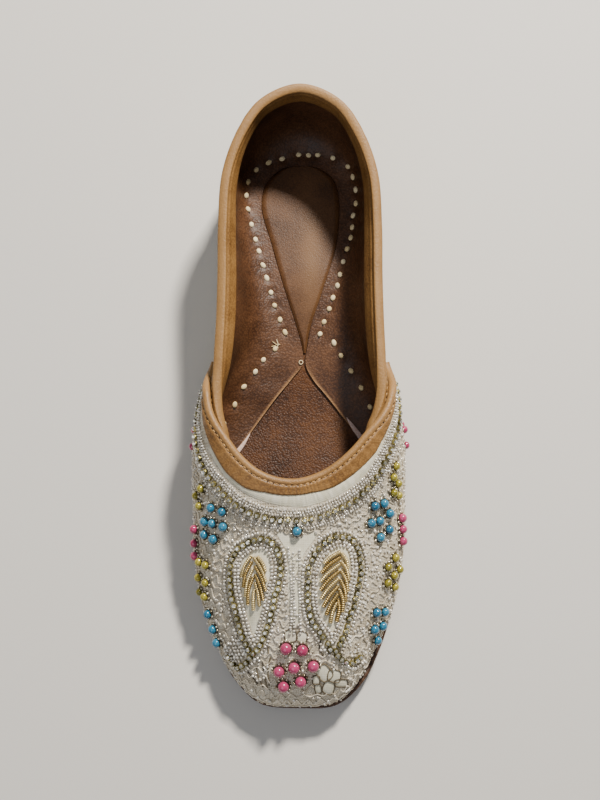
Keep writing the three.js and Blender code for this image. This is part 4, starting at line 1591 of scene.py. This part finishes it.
# %% Satin inside the paisleys and down the middle
PAISLEY_INSET, PAISLEY_RISE, CENTRE_RISE = -4.1, 0.35, 0.25
for side, outline in (("left", PAISLEY_LEFT), ("right", PAISLEY_RIGHT)):
    pillow("paisley_satin_" + side, moved(outline, PAISLEY_INSET)[::6], PAISLEY_RISE, cream_satin)
CENTRE_PATCH = [
    (-9.4, -56.4), (-4.6, -58.2), (-1.2, -59.2), (2.2, -58.2), (7.4, -56.4), (4.6, -60.2), (2.0, -63.4),
    (0.8, -70), (0.6, -80), (0, -90), (-1.6, -93), (-3.4, -90), (-4.6, -80), (-4.8, -70), (-5.4, -63.4),
    (-7.4, -60.2),
]
pillow("centre_satin", CENTRE_PATCH, CENTRE_RISE, cream_satin)
for y, clearance, across in ((-59.5, 2.2, (-7, -4, -1, 2, 5)), (-62, 2.0, (-4, -1, 2))):
    keep_clear([front_ground.under(x, y)[0] for x in across], clearance)

# %% Satin cells on the toe
CELL_RISE, CELL_SQUARE, CELL_CORNERS = 0.22, 0.45, 8
CELL_OUTLINE, CELL_CLEAR = 1.12, 0.55
CELL_COLUMNS = ("x", "y", "length", "width", "turn")
SATIN_CELLS = [dict(zip(CELL_COLUMNS, row)) for row in (
    (-3.6, -96.4, 4.2, 4.2, 10), (0.8, -96.8, 3.6, 3.6, -12),
    (9.6, -110.6, 5.6, 4.8, 40), (13.6, -111.8, 4.2, 4.6, -10), (6.4, -113.4, 3, 2.6, 0),
    (7.2, -116.8, 3.2, 2.4, 10), (11.4, -116.4, 4.4, 4, -20), (16.4, -114.6, 2.6, 4.8, 0),
)]


def squared(value):
    """Pushes a round outline out towards a square one."""
    return np.sign(value) * abs(value) ** CELL_SQUARE


for number, cell in enumerate(SATIN_CELLS):
    turn = math.radians(cell["turn"])
    corners = []
    for k in range(CELL_CORNERS):
        angle = 2 * math.pi * (k + 0.5) / CELL_CORNERS
        across = cell["width"] / 2 * squared(math.cos(angle))
        up = cell["length"] / 2 * squared(math.sin(angle))
        corners.append((cell["x"] + across * math.cos(turn) - up * math.sin(turn),
                        cell["y"] + across * math.sin(turn) + up * math.cos(turn)))
    pillow(f"satin_cell_{number:02d}", corners, CELL_RISE, cream_satin, rings=4, count=32)
    centre = np.array([cell["x"], cell["y"]])
    cell["outline"] = [tuple(centre + (np.array(corner) - centre) * CELL_OUTLINE) for corner in corners]
    clearance = max(cell["length"], cell["width"]) * CELL_CLEAR
    keep_clear([front_ground.under(*centre)[0]], clearance)

# %% [markdown]
# ### Bullion leaves
# Each leaf is laid in short lengths of gilt bullion, like the barbs of a feather: two sides slope down
# from a middle rib. The wire is a spring, so its ribs are real geometry here, one for each turn.

# %% Leaves
LEAF_COLUMNS = ("topX", "topY", "footX", "footY", "side")
LEFT_LEAF = [dict(zip(LEAF_COLUMNS, row)) for row in (
    (-18.9, -65.4, -22.9, -73.4, -1), (-18.8, -67.8, -22.2, -77.4, -1), (-18.5, -70.6, -21.3, -81, -1),
    (-18.2, -73.6, -20.4, -84, -1), (-18.0, -66.0, -13.2, -75.6, 1), (-17.6, -69.4, -13.3, -79.2, 1),
    (-17.5, -72.6, -14.3, -82.6, 1), (-17.6, -75.8, -15.8, -84.8, 1), (-17.9, -78.4, -18.2, -86.2, 0),
    (-16.6, -65.8, -13.4, -71.6, 1),
)]
RIGHT_LEAF = [dict(zip(LEAF_COLUMNS, row)) for row in (
    (15.6, -64, 9.4, -68.6, -1), (15.5, -66.2, 8.3, -72.2, -1), (15.3, -68.8, 8.0, -75.6, -1),
    (15.1, -71.4, 8.0, -78.8, -1), (14.9, -74.2, 8.3, -82, -1), (14.7, -77.2, 9.0, -85.2, -1),
    (14.5, -80.4, 10.2, -88.2, -1), (14.2, -83.4, 11.8, -91.2, -1),
    (16.0, -64.4, 18.6, -70.4, 1), (15.9, -67.6, 18.8, -74.6, 1), (15.7, -71, 18.4, -79, 1),
    (15.5, -74.6, 17.6, -83, 1), (15.2, -78.4, 16.4, -87, 1), (14.6, -82, 14.2, -90.4, 1),
)]

# %% Bullion laid along each barb
BARB_POINTS = 14
BOW_OUT, BOW_UP = 0.55, 0.3
for name, leaf, radius in (("bullion_leaf_left", LEFT_LEAF, 0.66), ("bullion_leaf_right", RIGHT_LEAF, 0.8)):
    strands = []
    for barb in leaf:
        start = np.array([barb["topX"], barb["topY"]])
        end = np.array([barb["footX"], barb["footY"]])
        middle = (start + end) / 2 + np.array([barb["side"] * BOW_OUT, BOW_UP])
        share = np.linspace(0, 1, BARB_POINTS)
        strand = []
        for along, (x, y, _) in zip(share, through([(*start, 0), (*middle, 0), (*end, 0)])(share)):
            spot, facing = front_ground.under(x, y)
            strand.append(spot + facing * (0.3 + radius * (0.55 + 0.7 * math.sin(math.pi * along))))
        strands.append(strand)
    lay_cords(name, strands, gilt_bullion, Radius=radius, Pitch=0.8, Rib=0.22, Step=0.16, Sides=8)

# %% [markdown]
# ### Pearl flowers
# Every flower is a handful of pearls set close, each in a ring of silver shot. The beads at the sides sit
# where the cloth is nearly upright, so they are placed by station and drop as well as in plan.

# %% Pearls
PEARL_FLOWERS = [
    ("turquoise_pearls", 3.5, blue_pearl, [
        (-34.8, -46.2), (-30.4, -48), (-37.4, -51.2), (-34.4, -52.2), (-30, -53.7), (-37.6, -56.3),
        (-34, -58.4), (29.2, -45.6), (32.9, -44.4), (35.2, -48.1), (31.3, -51.3), (27.9, -52.4),
        (35.1, -54.4), (31.5, -57.7),
        (-1.2, -56.3), (-36.2, -87.1), (-34.2, -93), (-32.6, -98.2),
        (29.9, -86.7), (33.4, -86.2), (29, -93.2), (32.4, -91.6), (30.4, -97.2)]),
    ("rose_pearls", 4.5, pink_pearl, [
        (-5.5, -100.9), (0.9, -101.5), (5.2, -107.6), (-2.4, -108.1), (-8.2, -109.6), (0.2, -113.4),
        (-6.5, -115.2)]),
    ("rose_side_pearls", 3.6, pink_pearl, [
        (-41.6, -53.7), (-41.7, -59.1), (-41.4, -64), (40.2, -49.3), (40.5, -53.6), (40.6, -58.2)]),
    ("olive_gold_pearls", 3.2, gold_pearl, [
        (-38.7, -38.4), (-41, -40.6), (-39.7, -44.9), (-39.9, -66.6), (-37.2, -68.1), (-40.1, -72.5),
        (-37.3, -74.9), (-39.7, -78.1), (-37.6, -80.2), (37.7, -29.5), (36.6, -34), (38.6, -36), (36.8, -40),
        (38.9, -40.6), (37.6, -65), (34.7, -68.9), (39.4, -69.3), (37.1, -71.9), (34.5, -75.1),
        (37.5, -76.3)]),
]
# Low on the sides: place round the ring in stations, and drop below the collar.
LOW_PEARLS = [(8.6, 24), (8.9, 26.8), (8.4, 27.4), (23.4, 24), (23.1, 26.8), (23.6, 27.4)]
LOW_PEARL_SIZE = 3.2
print("pearls drawn in plan:", sum(len(spots) for *_, spots in PEARL_FLOWERS))

# %% A ring of shot round each pearl, and a dark thread ring that is also painted shade in the gap
SHOT_A_MM, SHOT_LEAST, SHOT_MOST = 2.5, 0.9, 1.25
SHOT_OFF, SHOT_RISE, SHOT_DRIFT = 0.6, 0.6, 0.2
THREAD_SHADE_OFF, THREAD_SHADE_LIFT, THREAD_SHADE_POINTS = 0.2, 0.12, 16
shot = []
pearl_thread_shade_rings = []


def ring_of_shot(spot, facing, diameter):
    sideways = np.cross(facing, [0.3, 0.9, 0.2])
    sideways /= np.linalg.norm(sideways)
    other = np.cross(facing, sideways)

    def around(angle):
        return sideways * math.cos(angle) + other * math.sin(angle)

    count = max(8, int(diameter * SHOT_A_MM))
    for k in range(count):
        out = around(2 * math.pi * (k + rng.uniform(-SHOT_DRIFT, SHOT_DRIFT)) / count)
        rim, face = front_ground.nearest(spot + out * (diameter / 2 + SHOT_OFF))
        size = rng.uniform(SHOT_LEAST, SHOT_MOST)
        shot.append((rim + face * SHOT_RISE, face, out, (size, size, size)))
    turns = [around(2 * math.pi * k / THREAD_SHADE_POINTS) for k in range(THREAD_SHADE_POINTS + 1)]
    pearl_thread_shade_rings.append([spot + out * (diameter / 2 + THREAD_SHADE_OFF) + facing * THREAD_SHADE_LIFT for out in turns])


# %% Setting the pearls
PEARL_LEAST, PEARL_MOST, PEARL_RISE, PEARL_FLAT, PEARL_CLEAR = 0.95, 1.04, 0.4, 0.94, 1.3


def set_flower(name, size, finish, spots):
    pearls = []
    for spot, facing in spots:
        grow = size * rng.uniform(PEARL_LEAST, PEARL_MOST)
        pearls.append((spot + facing * grow * PEARL_RISE, facing, (1, 0, 0), (grow, grow, grow * PEARL_FLAT)))
        ring_of_shot(spot, facing, grow)
    keep_clear([spot for spot, _ in spots], size / 2 + PEARL_CLEAR)
    set_pieces(name, pearls, ROUND_BEADS, finish, Segments=18, Rings=12, Seed=11)


for name, size, finish, spots in PEARL_FLOWERS:
    set_flower(name, size, finish, [front_ground.under(x, y) for x, y in spots])
low_place, low_drop = np.array(LOW_PEARLS, float).T
low_u = low_place / (2 * HALF)
low_spots = [front_ground.nearest(point) for point in on_front(low_u, share_below(low_u, low_drop))]
set_flower("rose_low_pearls", LOW_PEARL_SIZE, pink_pearl, low_spots)
set_pieces("silver_shot_rings", shot, ROUND_BEADS, silver_shot, Segments=6, Rings=5, Seed=12)
# The dark ring round each pearl is thread, and also a painted shade for the gap between pearl and shot.
lay_cords("pearl_thread_shade_rings", pearl_thread_shade_rings, dark_thread_and_shade, Radius=0.42, Pitch=0.9, Rib=0.1, Step=0.6, Sides=5)

# %% [markdown]
# ### The wandering silver cord
# What is left of the cloth is filled with couched silver cord, which wanders in small loops and never
# crosses itself. We lay it in lanes below the border, each lane a wave with an uneven step, and cut it
# wherever it meets something already set. Loose seed beads fill the odd gaps.

# %% Where the cloth is still open
taken_places = np.array([place for place, _ in taken])
taken_clearance = np.array([clearance for _, clearance in taken])
PAISLEY_AREAS = [moved(outline, 2.0) for outline in (PAISLEY_LEFT, PAISLEY_RIGHT)]


def inside_outline(x, y, outline):
    xs, ys = np.array(outline).T
    xn, yn = np.roll(xs, -1), np.roll(ys, -1)
    crossing = (ys > y) != (yn > y)
    at = xs + (y - ys) / np.where(yn == ys, 1e-9, yn - ys) * (xn - xs)
    return (crossing & (x < at)).sum() % 2 == 1


def open_cloth(point, room):
    """Whether a place is outside both paisleys and clear of all that has been set."""
    if any(inside_outline(point[0], point[1], area) for area in PAISLEY_AREAS):
        return False
    return np.all(np.linalg.norm(taken_places - point, axis=1) > taken_clearance + room)


print("places taken:", len(taken))

# %% Lanes of cord
LANES, LANE_START, LANE_PITCH = 25, 4.4, 3.3
WAVE_LENGTH, WAVE_HEIGHT, WAVE_SHIFT = 4.4, 1.35, 2.4
CORD_RADIUS, CORD_ROOM, CORD_SOLE_ROOM = 0.3, 0.25, 1.2
SHORTEST_RUN = 8
foot_grid = np.linspace(0, 1, 400)
foot_shares = front_foot(foot_grid)


def foot_drop(u):
    """How far below the collar the cloth meets the sole."""
    return drop_at(u, np.interp(np.asarray(u) % 1, foot_grid, foot_shares))


def cord_lane(start_drop, phase):
    """One wavy lane round the front, cut into the runs that lie on open cloth."""
    u = np.linspace(u_of(WING_START - 0.3), u_of(WING_START - 0.3, -1), 1500)
    base = np.interp(u * 2 * HALF, border_places, stone_drops) + start_drop
    middle = on_front(u, share_below(u, base))
    travel = np.concatenate([[0], np.cumsum(np.linalg.norm(np.diff(middle, axis=0), axis=1))])
    swing = travel * 2 * math.pi / WAVE_LENGTH + phase + 1.3 * np.sin(travel / 5.3 + phase * 3)
    drop = base + WAVE_HEIGHT * np.sin(swing) * (0.75 + 0.35 * np.sin(travel / 7.7 + phase))
    line = on_front(u, share_below(u, drop), CORD_RADIUS * 0.7)
    runs = [[]]
    for point, deep, deepest in zip(line, drop, foot_drop(u) - CORD_SOLE_ROOM):
        if deep < deepest and open_cloth(point, CORD_ROOM):
            runs[-1].append(point)
        elif runs[-1]:
            runs.append([])
    return [run[::2] for run in runs if len(run) > SHORTEST_RUN]


lanes = []
for lane in range(LANES):
    lanes += cord_lane(LANE_START + lane * LANE_PITCH, lane * WAVE_SHIFT)
lay_cords("silver_couching_cord", lanes, silver_cord, Radius=CORD_RADIUS, Pitch=0.9, Rib=0.16, Step=0.45,
          Sides=5)
print("cord runs:", len(lanes))

# %% Loose seed beads in the gaps
LOOSE_TRIES, LOOSE_SHARE, LOOSE_ROOM, LOOSE_SOLE_ROOM = 5200, 0.4, 0.1, 1.5
LOOSE_LEAST, LOOSE_MOST, LOOSE_RISE, LOOSE_LENGTH = 0.9, 1.35, 0.35, 0.85
scatter_u = rng.uniform(float(u_of(WING_START)), float(u_of(WING_START, -1)), LOOSE_TRIES)
scatter_drop = rng.uniform(15, 92, LOOSE_TRIES)
loose = on_front(scatter_u, share_below(scatter_u, scatter_drop))
above_sole = scatter_drop < foot_drop(scatter_u) - LOOSE_SOLE_ROOM
for point in loose[above_sole]:
    if open_cloth(point, LOOSE_ROOM) and rng.uniform() < LOOSE_SHARE:
        spot, facing = front_ground.nearest(point)
        size = rng.uniform(LOOSE_LEAST, LOOSE_MOST)
        heading = rng.normal(0, 1, 3)
        shape = (size * LOOSE_LENGTH, size, size)
        seed_rows["scattered_seed_beads"].append((spot + facing * LOOSE_RISE, facing, heading, shape))
print("loose beads:", len(seed_rows["scattered_seed_beads"]))

# %% [markdown]
# ### Outlines and the curl
# A dark thread is couched round each satin cell, so that it reads as its own shape, and a few open
# strokes of it fan out beside the flower. The left paisley's tail ends in a curl packed with beads: we
# lay them on a staggered grid and keep those that fall inside the curl's outline.

# %% Dark outlines: round the satin cells, and as open strokes beside the flower
STROKES = [
    [(-11.6, -104.6), (-12.6, -109.6), (-12.2, -115.6)], [(-14.8, -106.2), (-14.2, -111.6), (-12.9, -116.4)],
    [(-17.4, -108), (-16.4, -112.4), (-14.6, -116.2)], [(-20.8, -110), (-18.4, -112.8), (-16.8, -114.8)],
    [(-12.6, -100.6), (-12.4, -103.6)], [(9.2, -104.2), (7.6, -101.2), (8.2, -97.6)],
]
OUTLINE_LIFT = UP * 0.2
outline_lines = [in_plan(stroke, count=24) + OUTLINE_LIFT for stroke in STROKES]
for cell in SATIN_CELLS:
    outline_lines.append(in_plan(cell["outline"] + cell["outline"][:1], count=36) + OUTLINE_LIFT)
lay_cords("cell_outlines", outline_lines, dark_thread_and_shade, Radius=0.28, Pitch=0.9, Rib=0.1, Step=0.4, Sides=5)

# %% The left tail's curl, filled with silver beads
CURL = [(-30.4, -101.6), (-28, -98), (-24.4, -96.4), (-21.8, -98.6), (-20.6, -102.6), (-23, -106),
        (-26.6, -106.4), (-29.6, -104.4)]
CURL_PITCH, CURL_ROWS, CURL_COLUMNS = 1.35, 9, 10
CURL_X, CURL_Y, CURL_DRIFT, CURL_RISE = -31, -107, 0.2, 0.6
CURL_LEAST, CURL_MOST = 1.25, 1.55
for row in range(CURL_ROWS):
    for column in range(CURL_COLUMNS):
        x = CURL_X + (column + 0.5 * (row % 2)) * CURL_PITCH + rng.uniform(-CURL_DRIFT, CURL_DRIFT)
        y = CURL_Y + row * CURL_PITCH + rng.uniform(-CURL_DRIFT, CURL_DRIFT)
        if inside_outline(x, y, CURL):
            spot, facing = front_ground.under(x, y)
            size = rng.uniform(CURL_LEAST, CURL_MOST)
            bead = (spot + facing * CURL_RISE, facing, (1, 0.4, 0), (size, size, size))
            seed_rows["paisley_seed_beads"].append(bead)

# %% All the seed beads and stones
for name, rows in seed_rows.items():
    set_pieces(name, rows, ROUND_BEADS, seed_glass, Segments=6, Rings=5, Seed=21)
CUP_RISE, CUP_WIDTH = 0.25, 1.04
CROWN_RISE, CROWN_WIDTH = 0.42, 0.88
cups = []
crowns = []
for spot, facing, head, size in stone_rows:
    cups.append((spot + facing * CUP_RISE, facing, head, (size * CUP_WIDTH, size * CUP_WIDTH, size)))
    crown_size = (size * CROWN_WIDTH, size * CROWN_WIDTH, size)
    crowns.append((spot + facing * size * CROWN_RISE, facing, head, crown_size))
set_pieces("stone_cups", cups, STONE_CUPS, cup_brass)
set_pieces("cut_stones", crowns, CUT_STONES, crystal)

# %% [markdown]
# ### Signs of the hand
# The turned-in lining shows its raw split side where its front edges meet the walls. A loop of thread
# is left at the tip of the left flap, and a stitch behind it has frayed.

# %% Raw edges
insole_ground = Ground(insole)
RAW_LEFT = [(-21.0, -11.6), (-23.4, -14.6), (-26.0, -17.8), (-28.6, -20.6), (-28.2, -23.4), (-25.6, -20.2),
            (-23.2, -16.6)]
RAW_RIGHT = [(19.6, -4.8), (21.6, -6.8), (24.2, -9.8), (26.6, -13.2), (25.6, -14.6), (23.0, -11.4),
             (21.0, -8.2)]
RAW_RISE, RAW_LIFT = 0.35, 1.15
for name, outline in (("raw_edge_left", RAW_LEFT), ("raw_edge_right", RAW_RIGHT)):
    pillow(name, outline, RAW_RISE, raw_leather, rings=4, count=32, ground=insole_ground, lift=RAW_LIFT)

# %% Loop and frayed thread
LOOP_X, LOOP_Y, LOOP_RADIUS, LOOP_LIFT, LOOP_POINTS = 0.4, 18.2, 0.8, 1.5, 16
FRAYED = [[(-11.6, 26.6), (-9.8, 25.4), (-8.4, 25.6)], [(-9.9, 27.6), (-9.2, 25.6), (-9.8, 23.8)],
          [(-12.0, 24.6), (-10.4, 25.0), (-9.2, 24.0)]]
FRAYED_LIFT = UP * 0.25
threads = [[]]
for k in range(LOOP_POINTS + 1):
    angle = 2 * math.pi * k / LOOP_POINTS
    x, y = LOOP_X + LOOP_RADIUS * math.cos(angle), LOOP_Y + LOOP_RADIUS * math.sin(angle)
    threads[0].append((x, y, insole_top(y) + LOOP_LIFT))
threads += [inside_ground.line_under(run) + FRAYED_LIFT for run in FRAYED]
lay_cords("loose_threads", threads, white_cotton, Radius=0.17, Pitch=0.8, Rib=0.1, Step=0.2, Sides=5)

# %% [markdown]
# ## Floor, light and camera
# A shoe like this is shown from above, standing on a plain pale floor. The main light is a soft panel
# behind its right side, so the heel's back throws a clean shadow on the pad. A wide, weaker panel and
# a pale world fill the rest.

# %% Floor
FLOOR_HALF = 1.5
floor_corners = [(x * FLOOR_HALF, y * FLOOR_HALF, 0) for x, y in ((-1, -1), (1, -1), (1, 1), (-1, 1))]
floor_mesh = bpy.data.meshes.new("studio_floor")
floor_mesh.from_pydata(floor_corners, [], [(0, 1, 2, 3)])
floor = bpy.data.objects.new("studio_floor", floor_mesh)
bpy.context.scene.collection.objects.link(floor)
# Matt background paper: no shine, only a faint tooth.
paper, paper_tree, paper_shader = new_finish("matt_pale_paper", Base_Color="#D6D3CD", Roughness=0.9)
fibre = node(paper_tree, "ShaderNodeTexNoise", {"Scale": per_mm(3.0), "Detail": 3.0})
dress(paper_tree, paper_shader, fibre.outputs["Fac"], 0.05)
floor_mesh.materials.append(paper)

# %% Light
AIM = Vector((0, 0.01, 0.03))


def panel(name, towards, distance, size, power, colour):
    """A square soft light that faces the shoe."""
    lamp = bpy.data.lights.new(name, "AREA")
    lamp.energy = power
    lamp.size = size
    lamp.color = srgb(colour)[:3]
    holder = bpy.data.objects.new(name, lamp)
    direction = Vector(towards).normalized()
    holder.location = AIM + direction * distance
    holder.rotation_euler = (-direction).to_track_quat("-Z", "Y").to_euler()
    bpy.context.scene.collection.objects.link(holder)
    print(name, "watts:", power)


panel("key_panel", (0.42, 0.92, 1.05), 1.1, 0.12, 27, "#FFF8EE")
panel("fill_panel", (-0.4, -0.6, 1.0), 1.5, 1.2, 6, "#F4F7FF")
world = bpy.data.worlds.new("pale_room")
world.use_nodes = True
room = world.node_tree.nodes["Background"].inputs
room["Color"].default_value = srgb("#EDEFF2")
room["Strength"].default_value = 0.2
bpy.context.scene.world = world

# %% Camera, looking down over the toe
ELEVATION = math.radians(78)
DISTANCE = 0.55
TARGET = Vector((SHIFT[0], SHIFT[1], 20)) * MM
LENS, SENSOR = 59.85, 36.0
back = Vector((0, -math.cos(ELEVATION), math.sin(ELEVATION)))
camera_data = bpy.data.cameras.new("camera")
camera_data.sensor_width = SENSOR
camera_data.lens = LENS
camera = bpy.data.objects.new("camera", camera_data)
camera.location = TARGET + back * DISTANCE
camera.rotation_euler = (-back).to_track_quat("-Z", "Y").to_euler()
bpy.context.scene.collection.objects.link(camera)
bpy.context.scene.camera = camera
print("camera height, m:", round(camera.location.z, 3))

# %% [markdown]
# ## Joining the frame
# Every piece rides on the one body, and the finished leather and cloth stand for their imported solids.

# %% Ride and replace
STANDS_FOR = {
    "outsole_leather": ("outsole", "sole_leather"),
    "stacked_heel_lift": ("heel", "heel_leather"),
    "insole_board": ("insole", "insole_leather"),
    "quarter_cloth": ("upper", "quarter_cloth"),
    "beaded_front_cloth": ("vamp", "vamp_cloth"),
    "collar_binding_strip": ("collar_binding", "binding_leather"),
    "throat_binding_strip": ("throat_binding", "binding_leather"),
}
meshes = [thing for thing in bpy.context.scene.objects if thing.type == "MESH" and thing != floor]
for piece in [thing for thing in meshes if "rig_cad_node" not in thing]:
    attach(piece, BODY)
    if piece.name in STANDS_FOR:
        solid, slot = STANDS_FOR[piece.name]
        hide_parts(solid)
